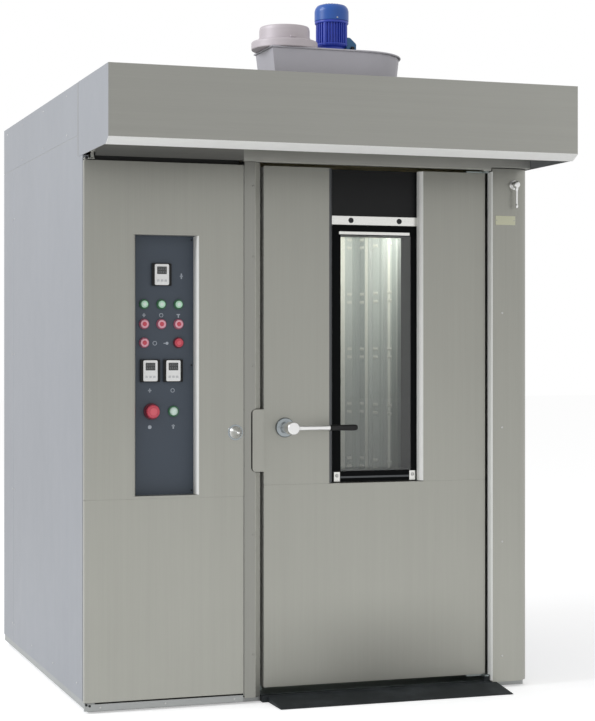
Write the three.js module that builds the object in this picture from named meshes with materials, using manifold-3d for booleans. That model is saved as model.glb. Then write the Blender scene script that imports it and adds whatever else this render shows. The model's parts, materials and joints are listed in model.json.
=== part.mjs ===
// Rotating rack oven, built as separate sheet metal, drive, door and control pieces.
// Millimetres. While a piece is made, X runs from the body's left face, Y from the body's
// front plane to the back, and Z up from the floor. The group at the end centres the whole.
import * as THREE from 'three';
import { mergeVertices } from 'three/addons/utils/BufferGeometryUtils.js';
import Module from 'manifold-3d';

const wasm = await Module();
wasm.setup();

// ---------- driving dimensions ----------
const CABINET_WIDTH = 596;
const COLUMN_WIDTH = 68;
const DOOR_WIDTH = 896;
const POST_WIDTH = 166;
const BODY_DEPTH = 1664;
const DOOR_HEIGHT = 1930;
const FASCIA_HEIGHT = 250;
const HOOD_PROJECTION = 385;
const HOOD_OVERLAP = 102;

const SHEET = 2.5;
const FIT = 0.3;
const SEAM = 2;
const PANEL_FOLD = 24;
const DOOR_SIDE_GAP = 16;
const DOOR_HEAD_GAP = 11;
const DOOR_RECESS = 30;
const LEAF_THICKNESS = 75;
const PLUG_THICKNESS = 57;
const FLOOR_TOP = 24;
const DOOR_LIFT = 25;
const LIP_DROP = 20;
const LIP_SLANT = 40;
const POST_CORNER_RADIUS = 70;
const COLUMN_DEPTH = 100;
const WALL_RIGHT = 80;
const WALL_REAR = 100;
const JACKET_TOP = 100;
const FRAME_DEPTH = 49;

const WINDOW_LEFT = 259;
const WINDOW_WIDTH = 377;
const WINDOW_RECESS = 41;
const GLASS_MARGIN_SIDE = 57;
const GLASS_MARGIN_END = 30;
const GLASS_BOTTOM = 841;
const GLASS_TOP = 1731;
const GLASS_THICKNESS = 6;
const GLAZING_BAR = [1771, 1803];
const DOOR_SEAM_Z = 799;

const CONTROL_LEFT = 181;
const CONTROL_WIDTH = 242;
const CONTROL_BOTTOM = 771;
const CONTROL_HEIGHT = 942;
const CONTROL_RECESS = 55;
const CABINET_SEAM_Z = 761;
const CABINET_DOOR_BOTTOM = 38;

const HANDLE_INSET = 82;
const HANDLE_Z = 1010;
const LOCK_INSET = 32.5;
const LOCK_Z = 996;
const LAMP_Z = 1700;
const LAMP_FROM_FRONT = 135;
const DAMPER_LEVER_INSET = 74;
const DAMPER_LEVER_DROP = 56;
const BUTTON_TRAVEL = 4;
const DOOR_PIN = 7;
const CABINET_PIN = 4;
const SPINDLE = 10;
const RACK_SHAFT = 20;
const BLOWER_SHAFT = 15;
const FAN_SHAFT = 12;
const BEARING_FIT = 0.4;
const STEM = 6;
const SIDES = 24;

const AXES = {
  x: [new THREE.Vector3(0, 1, 0), new THREE.Vector3(0, 0, 1), new THREE.Vector3(1, 0, 0)],
  y: [new THREE.Vector3(1, 0, 0), new THREE.Vector3(0, 0, 1), new THREE.Vector3(0, -1, 0)],
  z: [new THREE.Vector3(1, 0, 0), new THREE.Vector3(0, 1, 0), new THREE.Vector3(0, 0, 1)],
};

// ---------- places worked out from them ----------
const columnLeft = CABINET_WIDTH + SEAM;
const columnRight = columnLeft + COLUMN_WIDTH;
const doorLeft = columnRight + DOOR_SIDE_GAP;
const doorRight = doorLeft + DOOR_WIDTH;
const postLeft = doorRight + DOOR_SIDE_GAP;
const bodyRight = postLeft + POST_WIDTH;
const doorCentre = (doorLeft + doorRight) / 2;

const doorBottom = FLOOR_TOP + DOOR_LIFT;
const doorTop = doorBottom + DOOR_HEIGHT;
const headerBottom = doorTop + DOOR_HEAD_GAP;
const hoodBottom = headerBottom + 6;
const fasciaBottom = hoodBottom + LIP_DROP;
const roofTop = fasciaBottom + FASCIA_HEIGHT;
const cabinetTop = doorTop - 3;

const leafBack = DOOR_RECESS + LEAF_THICKNESS;
const plateBack = leafBack + FIT + SHEET;
const plugBack = plateBack + FIT + PLUG_THICKNESS;
const frameFront = plateBack + 7.5;
const chamberFront = frameFront + FRAME_DEPTH + 1;
const chamberRight = bodyRight - WALL_RIGHT;
const chamberLeft = 2 * doorCentre - chamberRight;
const chamberRear = BODY_DEPTH - WALL_REAR;
const chamberTop = doorTop - 19;
const jacketBottom = chamberTop + 6;
const jacketTop = jacketBottom + JACKET_TOP;
const bulkheadFront = 345;
const bulkheadBack = 390;
const rackCentreY = (chamberFront + chamberRear - 60) / 2;

const windowLeft = doorLeft + WINDOW_LEFT;
const windowRight = windowLeft + WINDOW_WIDTH;
const glassLeft = windowLeft + GLASS_MARGIN_SIDE;
const glassRight = windowRight - GLASS_MARGIN_END;
const windowFloor = DOOR_RECESS + WINDOW_RECESS;
const hingeX = doorRight;
const hingeY = DOOR_RECESS - 12;
const handleX = doorLeft + HANDLE_INSET;
const cabinetHinge = [9, 15];
const lockX = CABINET_WIDTH - LOCK_INSET;
const leverX = bodyRight - DAMPER_LEVER_INSET;
const leverZ = headerBottom - DAMPER_LEVER_DROP;

// ---------- solids ----------
function toSolid(geometry) {
  const bare = geometry.clone();
  bare.deleteAttribute('normal');
  bare.deleteAttribute('uv');
  const merged = mergeVertices(bare, 1e-4);
  const corners = merged.index.array;
  const kept = [];
  for (let i = 0; i < corners.length; i += 3) {
    const [a, b, c] = [corners[i], corners[i + 1], corners[i + 2]];
    if (a !== b && b !== c && c !== a) kept.push(a, b, c);
  }
  return new wasm.Manifold(new wasm.Mesh({
    numProp: 3,
    vertProperties: new Float32Array(merged.attributes.position.array),
    triVerts: new Uint32Array(kept),
  }));
}

function toGeometry(solid) {
  const mesh = solid.getMesh();
  const geometry = new THREE.BufferGeometry();
  geometry.setAttribute('position', new THREE.BufferAttribute(mesh.vertProperties, 3));
  geometry.setIndex(new THREE.BufferAttribute(mesh.triVerts, 1));
  geometry.computeVertexNormals();
  return geometry;
}

const join = (...solids) => solids.reduce((all, next) => all.add(next));
const cut = (body, ...tools) => tools.reduce((rest, tool) => rest.subtract(tool), body);

function box(x, y, z) {
  const geometry = new THREE.BoxGeometry(x[1] - x[0], y[1] - y[0], z[1] - z[0]);
  geometry.translate((x[0] + x[1]) / 2, (y[0] + y[1]) / 2, (z[0] + z[1]) / 2);
  return toSolid(geometry);
}

const rect = (u, v) => [[u[0], v[0]], [u[1], v[0]], [u[1], v[1]], [u[0], v[1]]];

// A flat outline pushed along an axis. Outlines are (y, z) for x, (x, z) for y, (x, y) for z.
function prism(axis, outline, low, high) {
  const shape = new THREE.Shape(outline.map(([u, v]) => new THREE.Vector2(u, v)));
  const geometry = new THREE.ExtrudeGeometry(shape, { depth: high - low, bevelEnabled: false });
  geometry.applyMatrix4(new THREE.Matrix4().makeBasis(...AXES[axis]));
  const start = { x: [low, 0, 0], y: [0, high, 0], z: [0, 0, low] }[axis];
  geometry.translate(...start);
  return toSolid(geometry);
}

// Centre is given in X, Y, Z; its value along the axis is not used.
function rod(axis, centre, radius, low, high, sides = SIDES) {
  const geometry = new THREE.CylinderGeometry(radius, radius, high - low, sides);
  if (axis === 'x') geometry.rotateZ(-Math.PI / 2);
  if (axis === 'z') geometry.rotateX(Math.PI / 2);
  const middle = (low + high) / 2;
  const [x, y, z] = centre;
  geometry.translate(axis === 'x' ? middle : x, axis === 'y' ? middle : y, axis === 'z' ? middle : z);
  return toSolid(geometry);
}

// A turned piece. The profile is (radius, height) and goes round anticlockwise.
// Height runs up for z, and towards the front for y.
function turned(axis, base, profile, sides = SIDES) {
  const points = profile.map(([r, h]) => new THREE.Vector2(r, h));
  const geometry = new THREE.LatheGeometry(points, sides);
  geometry.rotateX(axis === 'z' ? Math.PI / 2 : Math.PI);
  geometry.translate(...base);
  return toSolid(geometry);
}

const closed = (profile) => [...profile, profile[0]];

function offsetPoint(before, point, after, distance) {
  const unit = (a, b) => {
    const length = Math.hypot(b[0] - a[0], b[1] - a[1]);
    return [-(b[1] - a[1]) / length, (b[0] - a[0]) / length];
  };
  const first = unit(before, point);
  const second = unit(point, after);
  const scale = distance / (1 + first[0] * second[0] + first[1] * second[1]);
  return [point[0] + (first[0] + second[0]) * scale, point[1] + (first[1] + second[1]) * scale];
}

// The outline moved inwards; it goes round anticlockwise.
function inset(outline, distance) {
  const count = outline.length;
  return outline.map((point, i) => offsetPoint(
    outline[(i + count - 1) % count], point, outline[(i + 1) % count], distance));
}

// An open path of sheet metal, with its thickness on the left of its direction.
function strip(path, thickness = SHEET) {
  const last = path.length - 1;
  const extend = (a, b) => [2 * b[0] - a[0], 2 * b[1] - a[1]];
  const other = path.map((point, i) => offsetPoint(
    i === 0 ? extend(path[1], point) : path[i - 1],
    point,
    i === last ? extend(path[last - 1], point) : path[i + 1],
    thickness));
  return [...path, ...other.reverse()];
}

function arc(centre, radius, from, to, steps) {
  const points = [];
  for (let i = 0; i <= steps; i += 1) {
    const angle = THREE.MathUtils.degToRad(from + (to - from) * i / steps);
    points.push([centre[0] + radius * Math.cos(angle), centre[1] + radius * Math.sin(angle)]);
  }
  return points;
}

// A folded sheet panel: a flat face with its edges folded back, open on one side.
function tray(axis, outline, low, high, openSide = 'high') {
  const inner = inset(outline, SHEET);
  const hollow = openSide === 'high'
    ? prism(axis, inner, low + SHEET, high + 1)
    : prism(axis, inner, low - 1, high - SHEET);
  return cut(prism(axis, outline, low, high), hollow);
}

// A box-section tube along y round a rectangular hole.
function reveal(x, z, y) {
  const outer = rect([x[0] - SHEET, x[1] + SHEET], [z[0] - SHEET, z[1] + SHEET]);
  return cut(prism('y', outer, y[0], y[1]), prism('y', rect(x, z), y[0] - 1, y[1] + 1));
}

// ---------- assembly ----------
const FINISHES = {
  front: { color: 0x96968e, roughness: 0.38, metalness: 0.9 },
  side: { color: 0xb2b6be, roughness: 0.4, metalness: 0.85 },
  bright: { color: 0xdcdcd4, roughness: 0.25, metalness: 0.95 },
  liner: { color: 0xb9bab0, roughness: 0.35, metalness: 0.9 },
  zinc: { color: 0xa4a6a2, roughness: 0.5, metalness: 0.8 },
  slate: { color: 0x40464f, roughness: 0.55, metalness: 0.1 },
  black: { color: 0x141618, roughness: 0.3, metalness: 0.1 },
  ramp: { color: 0x343a3c, roughness: 0.6, metalness: 0.5 },
  glass: { color: 0x8f9f99, roughness: 0.05, metalness: 0, transparent: true, opacity: 0.35 },
  rubber: { color: 0x2b2b2d, roughness: 0.8, metalness: 0 },
  wool: { color: 0xcfc9a8, roughness: 0.95, metalness: 0 },
  iron: { color: 0x5a5e62, roughness: 0.6, metalness: 0.6 },
  motorBlue: { color: 0x2a339a, roughness: 0.45, metalness: 0.1 },
  cowlBlue: { color: 0x2d6eb4, roughness: 0.4, metalness: 0.1 },
  duct: { color: 0x91909a, roughness: 0.5, metalness: 0.7 },
  collar: { color: 0xc3b9be, roughness: 0.6, metalness: 0.3 },
  green: { color: 0x4fbf7a, roughness: 0.35, metalness: 0 },
  red: { color: 0xb5213c, roughness: 0.35, metalness: 0 },
};

const oven = new THREE.Group();
oven.position.set(-bodyRight / 2, (HOOD_PROJECTION - BODY_DEPTH) / 2, 0);

function add(name, solid, finish) {
  const mesh = new THREE.Mesh(toGeometry(solid), new THREE.MeshStandardMaterial(FINISHES[finish]));
  mesh.name = name;
  oven.add(mesh);
}

// ---------- base and casing ----------
const slabTop = FLOOR_TOP - SHEET - 1.2;
const slabFront = 34;
const sideBottom = 42;

function floorSlab() {
  const x = [20, bodyRight - 20];
  const y = [slabFront, BODY_DEPTH - 20];
  const bays = 3;
  const rib = 12;
  const pitchX = (x[1] - x[0] - rib) / bays;
  const pitchY = (y[1] - y[0] - rib) / bays;
  let slab = box(x, y, [0, slabTop]);
  for (let i = 0; i < bays; i += 1) {
    for (let j = 0; j < bays; j += 1) {
      const left = x[0] + rib + i * pitchX;
      const front = y[0] + rib + j * pitchY;
      slab = cut(slab, box([left, left + pitchX - rib], [front, front + pitchY - rib], [-1, slabTop - 3]));
    }
  }
  return slab;
}

function baseRail() {
  const frontStrip = box([3, CABINET_WIDTH - 2], [3, 18], [8, 32]);
  const sideRail = box([3, 20 - FIT], [3, BODY_DEPTH - 4], [16, 32]);
  const sideTop = box([3, 20 - FIT], [28, BODY_DEPTH - 4], [31, sideBottom - FIT]);
  const pivotPlate = box([3, 40], [5, 30], [30, CABINET_DOOR_BOTTOM - 2]);
  const pinHole = rod('z', [...cabinetHinge, 0], CABINET_PIN + FIT, 29, CABINET_DOOR_BOTTOM);
  return cut(join(frontStrip, sideRail, sideTop, pivotPlate), pinHole);
}

function threshold() {
  const bar = box([columnRight + 2, postLeft - 2], [0, slabFront - FIT], [0, FLOOR_TOP]);
  const boss = rod('z', [hingeX, hingeY, 0], 11, FLOOR_TOP - 1, doorBottom - 6.5);
  const pin = rod('z', [hingeX, hingeY, 0], DOOR_PIN, FLOOR_TOP - 1, doorBottom - 0.6);
  return join(bar, boss, pin);
}

function entryRamp() {
  const outline = [[-150, 0], [-0.5, 0], [-0.5, FLOOR_TOP - 2], [-150, 3]];
  return prism('x', outline, doorLeft + 7, postLeft + 18);
}

const rearStripFront = BODY_DEPTH - 235;
const bandBottom = hoodBottom + 78;

function leftSidePanel() {
  const front = 28;
  const outline = [
    [front, sideBottom], [rearStripFront - SEAM, sideBottom], [rearStripFront - SEAM, bandBottom - SEAM],
    [HOOD_OVERLAP + FIT, bandBottom - SEAM], [HOOD_OVERLAP + FIT, hoodBottom - FIT],
    [front, hoodBottom - FIT],
  ];
  return tray('x', outline, 0, PANEL_FOLD);
}

function leftRearPanel() {
  return tray('x', rect([rearStripFront, BODY_DEPTH], [sideBottom, bandBottom - SEAM]), 0, PANEL_FOLD);
}

function leftTopPanel() {
  return tray('x', rect([HOOD_OVERLAP + FIT, BODY_DEPTH], [bandBottom, roofTop]), 0, PANEL_FOLD);
}

function rightSidePanel() {
  const outline = rect([HOOD_OVERLAP + FIT, BODY_DEPTH], [sideBottom, roofTop]);
  return tray('x', outline, bodyRight - PANEL_FOLD, bodyRight, 'low');
}

const panelInner = [PANEL_FOLD + FIT * 2, bodyRight - PANEL_FOLD - FIT * 2];

function rearPanel() {
  return tray('y', rect(panelInner, [sideBottom, roofTop]), BODY_DEPTH - PANEL_FOLD, BODY_DEPTH, 'low');
}

function roofPanel() {
  const outline = rect(panelInner, [HOOD_OVERLAP + FIT * 2, BODY_DEPTH - PANEL_FOLD - FIT * 2]);
  return tray('z', outline, roofTop - PANEL_FOLD, roofTop, 'low');
}

// ---------- hood and its fan ----------
const housingFront = -HOOD_PROJECTION + 93;
const outletX = columnLeft + 90;
const outletY = housingFront + 99;
const fanX = outletX + 214;
const fanY = housingFront + 194;
const housingHeight = 103;
const inletRadius = 100;
const outletRadius = 84;

function hood() {
  const front = -HOOD_PROJECTION;
  const cheek = [
    [front, fasciaBottom], [front + LIP_SLANT, hoodBottom], [HOOD_OVERLAP, hoodBottom],
    [HOOD_OVERLAP, roofTop], [front, roofTop],
  ];
  const gutter = front + LIP_SLANT + 23;
  const fascia = strip([
    [front, roofTop], [front, fasciaBottom], [front + LIP_SLANT, hoodBottom],
    [gutter, hoodBottom], [gutter, hoodBottom + 34],
  ]);
  const top = box([0, bodyRight], [front, HOOD_OVERLAP], [roofTop - SHEET, roofTop]);
  const rearFlange = box([0, bodyRight], [HOOD_OVERLAP - SHEET, HOOD_OVERLAP], [roofTop - 60, roofTop]);
  const shell = join(
    prism('x', cheek, 0, SHEET),
    prism('x', cheek, bodyRight - SHEET, bodyRight),
    prism('x', fascia, SHEET / 2, bodyRight - SHEET / 2),
    top,
    rearFlange,
  );
  return cut(shell, rod('z', [fanX, fanY, 0], inletRadius, roofTop - 10, roofTop + 10, 32));
}

function scrollOutline() {
  const centre = [fanX + 57, fanY];
  const radius = 194;
  const tongue = outletY + 99;
  const end = 180 - THREE.MathUtils.radToDeg(Math.asin((tongue - fanY) / radius));
  return [[outletX - 77, housingFront], ...arc(centre, radius, -90, end, 16), [outletX - 77, tongue]];
}

// The scroll's walls lean in towards the bottom.
function leaning(outline, low, high) {
  const shrink = 0.955;
  const shape = new THREE.Shape(outline.map(([x, y]) => new THREE.Vector2(x, y)));
  const geometry = new THREE.ExtrudeGeometry(shape, { depth: high - low, bevelEnabled: false });
  const place = geometry.attributes.position;
  for (let i = 0; i < place.count; i += 1) {
    const up = place.getZ(i) / (high - low);
    const scale = shrink + (1 - shrink) * up;
    place.setXYZ(
      i,
      fanX + (place.getX(i) - fanX) * scale,
      fanY + (place.getY(i) - fanY) * scale,
      low + place.getZ(i),
    );
  }
  return toSolid(geometry);
}

const housingTop = roofTop + housingHeight;
const lidUnderside = housingTop - SHEET - FIT;

function fanHousing() {
  const outline = scrollOutline();
  const low = roofTop + FIT;
  return cut(
    leaning(outline, low, lidUnderside),
    leaning(inset(outline, SHEET), low + SHEET, lidUnderside + SHEET),
    rod('z', [fanX, fanY, 0], inletRadius, low - 1, low + SHEET + 1),
  );
}

function fanHousingLid() {
  const low = lidUnderside + FIT;
  return cut(
    prism('z', inset(scrollOutline(), -3), low, housingTop),
    rod('z', [outletX, outletY, 0], outletRadius, low - 1, housingTop + 1),
    rod('z', [fanX, fanY, 0], FAN_SHAFT + 4, low - 1, housingTop + 1),
  );
}

function exhaustCollar() {
  const profile = [
    [outletRadius, 0], [116, 0], [118, 2], [118, 26], [116, 29], [90, 29], [90, 73], [88, 79],
    [outletRadius, 82],
  ];
  return turned('z', [outletX, outletY, housingTop + FIT], closed(profile), 36);
}

const motorRadius = 57.5;
const motorTop = housingTop + 132;

function fanMotor() {
  const centre = [fanX, fanY, 0];
  const body = join(
    rod('z', centre, 52, housingTop + FIT, housingTop + 45, 28),
    rod('z', centre, motorRadius, housingTop + 44, motorTop, 28),
    rod('z', centre, 62, motorTop - 7, motorTop, 28),
  );
  const junction = prism('y', [
    [fanX + 40, housingTop + 16], [fanX + 87, housingTop + 16], [fanX + 87, housingTop + 52],
    [fanX + 62, housingTop + 74], [fanX + 40, housingTop + 74],
  ], fanY - 26, fanY + 26);
  return cut(join(body, junction), rod('z', centre, FAN_SHAFT + BEARING_FIT, housingTop, housingTop + 80));
}

function motorCowl() {
  const profile = [
    [0, 58], [46, 58], [56, 52], [60, 40], [60, 0], [62.5, 0], [62.5, 41], [58.5, 54], [48, 61], [0, 61],
  ];
  return turned('z', [fanX, fanY, motorTop + FIT], profile, 28);
}

// Blades set round a disc, standing on z from low to high.
function bladeRing(centre, radius, chord, count, low, high, lean) {
  const blades = [];
  for (let i = 0; i < count; i += 1) {
    const blade = new THREE.BoxGeometry(chord, 3, high - low);
    blade.rotateZ(THREE.MathUtils.degToRad(lean));
    blade.translate(radius, 0, (low + high) / 2);
    blade.rotateZ(2 * Math.PI * i / count);
    blade.translate(centre[0], centre[1], 0);
    blades.push(toSolid(blade));
  }
  return join(...blades);
}

function hoodFanImpeller() {
  const centre = [fanX, fanY, 0];
  const discTop = housingTop - 16;
  return join(
    rod('z', centre, FAN_SHAFT, roofTop + 24, housingTop + 76),
    rod('z', centre, 28, discTop - 40, discTop),
    rod('z', centre, 118, discTop - 3, discTop, 32),
    bladeRing(centre, 94, 44, 10, roofTop + 26, discTop - 2, 55),
  );
}

// ---------- front frame ----------
const keeperZ = [HANDLE_Z - 160, HANDLE_Z + 69];
const keeperX = [columnRight - 38, columnRight + 6];
const keeperGap = 4;
const keeperCorner = 12;

// Anticlockwise, with both left-hand corners rounded.
function keeperOutline(x, z, radius) {
  return [
    [x[1], z[0]], [x[1], z[1]],
    ...arc([x[0] + radius, z[1] - radius], radius, 90, 180, 5),
    ...arc([x[0] + radius, z[0] + radius], radius, 180, 270, 5),
  ];
}

function headerPanel() {
  const outline = [
    [SHEET + FIT, headerBottom + 18], [CABINET_WIDTH + 1, headerBottom + 18],
    [CABINET_WIDTH + 1, headerBottom], [postLeft - 2, headerBottom], [postLeft - 2, hoodBottom + 3],
    [bodyRight - SHEET - FIT, hoodBottom + 3], [bodyRight - SHEET - FIT, roofTop - SHEET - FIT],
    [SHEET + FIT, roofTop - SHEET - FIT],
  ];
  const panel = tray('y', outline, 4, 30);
  const pivotPlate = box([hingeX - 18, postLeft - 2], [5, 40], [doorTop + 6.6, headerBottom + 1]);
  const pin = rod('z', [hingeX, hingeY, 0], DOOR_PIN, doorTop + 0.6, headerBottom);
  const cabinetWeb = box([28, 40], [16, 27.5], [cabinetTop + 4, headerBottom + 20]);
  const cabinetPlate = cut(
    box([3, 40], [5, 27.5], [cabinetTop + 4, cabinetTop + 8]),
    rod('z', [...cabinetHinge, 0], CABINET_PIN + FIT, cabinetTop, cabinetTop + 12),
  );
  return join(panel, pivotPlate, pin, cabinetWeb, cabinetPlate);
}

function centreColumn() {
  const bevel = 26;
  const path = [
    [columnLeft, COLUMN_DEPTH], [columnLeft, 0], [columnRight - bevel, 0], [columnRight, bevel],
    [columnRight, COLUMN_DEPTH],
  ];
  const column = prism('z', strip(path), slabTop + FIT, headerBottom - FIT);
  const notchX = [keeperX[0] - keeperGap, columnRight + 1];
  const notchZ = [keeperZ[0] - FIT, keeperZ[1] + FIT];
  return cut(column, prism('y', keeperOutline(notchX, notchZ, keeperCorner + keeperGap), -1, 93));
}

function rightPost() {
  const corner = [bodyRight - POST_CORNER_RADIUS, POST_CORNER_RADIUS];
  const path = [
    [postLeft, COLUMN_DEPTH], [postLeft, 0],
    ...arc(corner, POST_CORNER_RADIUS, -90, 0, 10), [bodyRight, COLUMN_DEPTH],
  ];
  const post = prism('z', strip(path), slabTop + FIT, hoodBottom - FIT);
  return cut(post, rod('y', [leverX, 0, leverZ], 6.5, -1, SHEET + 1));
}

const boltY = [62, 78];
const boltZ = [HANDLE_Z - 12, HANDLE_Z + 12];

function latchKeeper() {
  const cover = tray('y', keeperOutline(keeperX, keeperZ, keeperCorner), -3, 92);
  return cut(cover, box(
    [keeperX[1] - 4, keeperX[1] + 1], [boltY[0] - 4, boltY[1] + 4], [boltZ[0] - 6, boltZ[1] + 6]));
}

function damperLever() {
  const axis = [leverX, 0, leverZ];
  return join(
    turned('y', [leverX, -FIT, leverZ], [[0, 0], [11, 0], [11, 6], [13, 9], [13, 28], [9, 33], [0, 33]]),
    rod('y', axis, 6, -1, 60, 16),
    rod('z', [leverX, -24, 0], 4.5, leverZ - 88, leverZ, 16),
    box([leverX - 6, leverX + 6], [50, 56], [leverZ - 42, leverZ]),
  );
}

// ---------- oven door ----------
function doorSheet(x, z) {
  return tray('y', rect(x, z), DOOR_RECESS, leafBack);
}

function doorSheetLeft() {
  return cut(
    doorSheet([doorLeft, windowLeft], [DOOR_SEAM_Z, doorTop]),
    rod('y', [handleX, 0, HANDLE_Z], SPINDLE + 2 * FIT, DOOR_RECESS - 1, DOOR_RECESS + SHEET + 1),
    box([doorLeft - 1, doorLeft + 4], [boltY[0] - FIT, boltY[1] + FIT], [boltZ[0] - FIT, boltZ[1] + FIT]),
  );
}

const glassX = [glassLeft, glassRight];
const glassZ = [GLASS_BOTTOM, GLASS_TOP];

function windowSurround() {
  const x = [windowLeft + FIT, windowRight - FIT];
  const z = [DOOR_SEAM_Z + FIT, doorTop - FIT];
  const panel = tray('y', rect(x, z), windowFloor, leafBack - FIT);
  const hole = prism('y', rect(glassX, glassZ), windowFloor - 1, leafBack);
  const bar = box(x, [windowFloor - 8, windowFloor + 1], GLAZING_BAR);
  return join(cut(panel, hole), reveal(glassX, glassZ, [windowFloor, leafBack - FIT]), bar);
}

function outerGlass() {
  return box(
    [windowLeft + 3, windowRight - 3],
    [windowFloor - FIT - GLASS_THICKNESS, windowFloor - FIT],
    [DOOR_SEAM_Z + 4, GLAZING_BAR[0] - 2],
  );
}

function hingeArm(z) {
  const arm = join(
    box([hingeX - 78, hingeX - 2], [32, plateBack], z),
    box([hingeX - 11, hingeX + 11], [hingeY, 34], z),
    rod('z', [hingeX, hingeY, 0], 11, z[0], z[1]),
  );
  return cut(arm, rod('z', [hingeX, hingeY, 0], DOOR_PIN + BEARING_FIT, z[0] - 1, z[1] + 1));
}

function doorBackPlate() {
  const y = [leafBack + FIT, plateBack];
  const plate = cut(
    box([doorLeft + 2, doorRight - 2], y, [doorBottom + 2, doorTop - 2]),
    prism('y', rect(glassX, glassZ), y[0] - 1, y[1] + 1),
  );
  const links = [[doorBottom - 6, doorBottom + 10], [doorTop - 10, doorTop + 5.5]];
  const webs = links.map((z) => box([hingeX - 78, hingeX - 2], y, z));
  return join(
    plate,
    ...webs,
    hingeArm([doorBottom - 6, doorBottom - FIT]),
    hingeArm([doorTop + FIT, doorTop + 5.5]),
  );
}

const plugX = [doorLeft + 48, doorRight - 48];
const plugZ = [doorBottom + 25, doorTop - 41];

function doorInnerPan() {
  const y = [plateBack + FIT, plugBack];
  const pan = cut(
    tray('y', rect(plugX, plugZ), y[0], y[1], 'low'),
    prism('y', rect(glassX, glassZ), y[0] - 1, y[1] + 1),
  );
  return join(pan, reveal(glassX, glassZ, y));
}

function innerGlass() {
  return box(
    [glassLeft - 18, glassRight + 18], [plugBack + FIT, plugBack + FIT + GLASS_THICKNESS - 1],
    [GLASS_BOTTOM - 18, GLASS_TOP + 18],
  );
}

function doorSeal() {
  const y = [plateBack + FIT, frameFront - FIT];
  const outer = rect([doorLeft + 4, doorRight - 4], [doorBottom + 3, doorTop - 4]);
  return cut(prism('y', outer, y[0], y[1]), prism('y', inset(outer, 12), y[0] - 1, y[1] + 1));
}

function handleRosette() {
  const front = DOOR_RECESS - FIT;
  const bore = SPINDLE + 2 * FIT;
  const profile = [[bore, 0], [37, 0], [37, 5], [33, 9], [22, 11], [bore, 11]];
  return turned('y', [handleX, front, HANDLE_Z], closed(profile), 32);
}

const leverY = -55;
const gripStart = handleX + 148;
const gripEnd = gripStart + 108;

function handleLever() {
  const base = [handleX, DOOR_RECESS - 12, HANDLE_Z];
  const hub = turned('y', base, [
    [0, 0], [17, 0], [15, 16], [15, 44], [24, 50], [24, 92], [20, 96], [0, 96],
  ], 28);
  return join(
    hub,
    rod('y', [handleX, 0, HANDLE_Z], SPINDLE, DOOR_RECESS - 14, boltY[0] - 2),
    rod('x', [0, leverY, HANDLE_Z], 9, handleX, gripStart, 20),
    rod('x', [0, leverY, HANDLE_Z], 6.5, gripStart - 1, gripStart + 60, 16),
  );
}

function handleGrip() {
  const grip = rod('x', [0, leverY, HANDLE_Z], 11, gripStart + FIT, gripEnd, 20);
  return cut(grip, rod('x', [0, leverY, HANDLE_Z], 6.8, gripStart - 1, gripStart + 61, 16));
}

function latchBolt() {
  return box([doorLeft - 7, handleX + 10], boltY, boltZ);
}

// ---------- control cabinet ----------
const controlX = [CONTROL_LEFT, CONTROL_LEFT + CONTROL_WIDTH];
const controlZ = [CONTROL_BOTTOM, CONTROL_BOTTOM + CONTROL_HEIGHT];
const cabinetX = [1, CABINET_WIDTH - 2];
const panelFront = CONTROL_RECESS;
const controlCentre = CONTROL_LEFT + 116.5;
const BUTTON_PITCH = 64.5;
const BEZEL = 2.5;
const BUTTON_SIDES = 14;

const BUTTONS = [
  { name: 'start_button_1', dx: -BUTTON_PITCH, z: 1464, radius: 14, finish: 'green' },
  { name: 'start_button_2', dx: 0, z: 1464, radius: 14, finish: 'green' },
  { name: 'start_button_3', dx: BUTTON_PITCH, z: 1464, radius: 14, finish: 'green' },
  { name: 'stop_button_1', dx: -BUTTON_PITCH, z: 1392, radius: 15, finish: 'red' },
  { name: 'stop_button_2', dx: 0, z: 1392, radius: 15, finish: 'red' },
  { name: 'stop_button_3', dx: BUTTON_PITCH, z: 1392, radius: 15, finish: 'red' },
  { name: 'steam_button', dx: -BUTTON_PITCH, z: 1324, radius: 15, finish: 'red' },
  { name: 'reset_button', dx: BUTTON_PITCH, z: 1324, radius: 16, finish: 'red' },
];
const EMERGENCY_STOP = { dx: -36.5, z: 1074, radius: 25 };
const POWER_LAMP = { dx: 45.5, z: 1074, radius: 15 };
const CONTROLLERS = [{ dx: 0, z: 1572 }, { dx: -43, z: 1222 }, { dx: 43, z: 1222 }];
const CONTROLLER_SIZE = [72, 80];

function cabinetDoorUpper() {
  const pan = tray('y', rect(cabinetX, [CABINET_SEAM_Z + 1, cabinetTop]), 0, PANEL_FOLD);
  const opened = cut(pan, prism('y', rect(controlX, controlZ), -1, PANEL_FOLD));
  const pin = rod('z', [...cabinetHinge, 0], CABINET_PIN, cabinetTop - SHEET, cabinetTop + 7.6, 16);
  const frame = reveal(controlX, controlZ, [0.5, panelFront - FIT]);
  return cut(join(opened, frame, pin), rod('y', [lockX, 0, LOCK_Z], 8.4, -1, SHEET + 1));
}

function cabinetDoorLower() {
  const pan = tray('y', rect(cabinetX, [CABINET_DOOR_BOTTOM, CABINET_SEAM_Z]), 0, PANEL_FOLD);
  const pin = rod('z', [...cabinetHinge, 0], CABINET_PIN, 31, CABINET_DOOR_BOTTOM + SHEET, 16);
  return join(pan, pin);
}

function bezel(x, z, radius) {
  const inner = radius + 0.8;
  const profile = [[inner, 0], [inner + BEZEL, 0], [inner + BEZEL, 6], [inner, 6]];
  return turned('y', [x, panelFront, z], closed(profile), BUTTON_SIDES);
}

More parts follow.
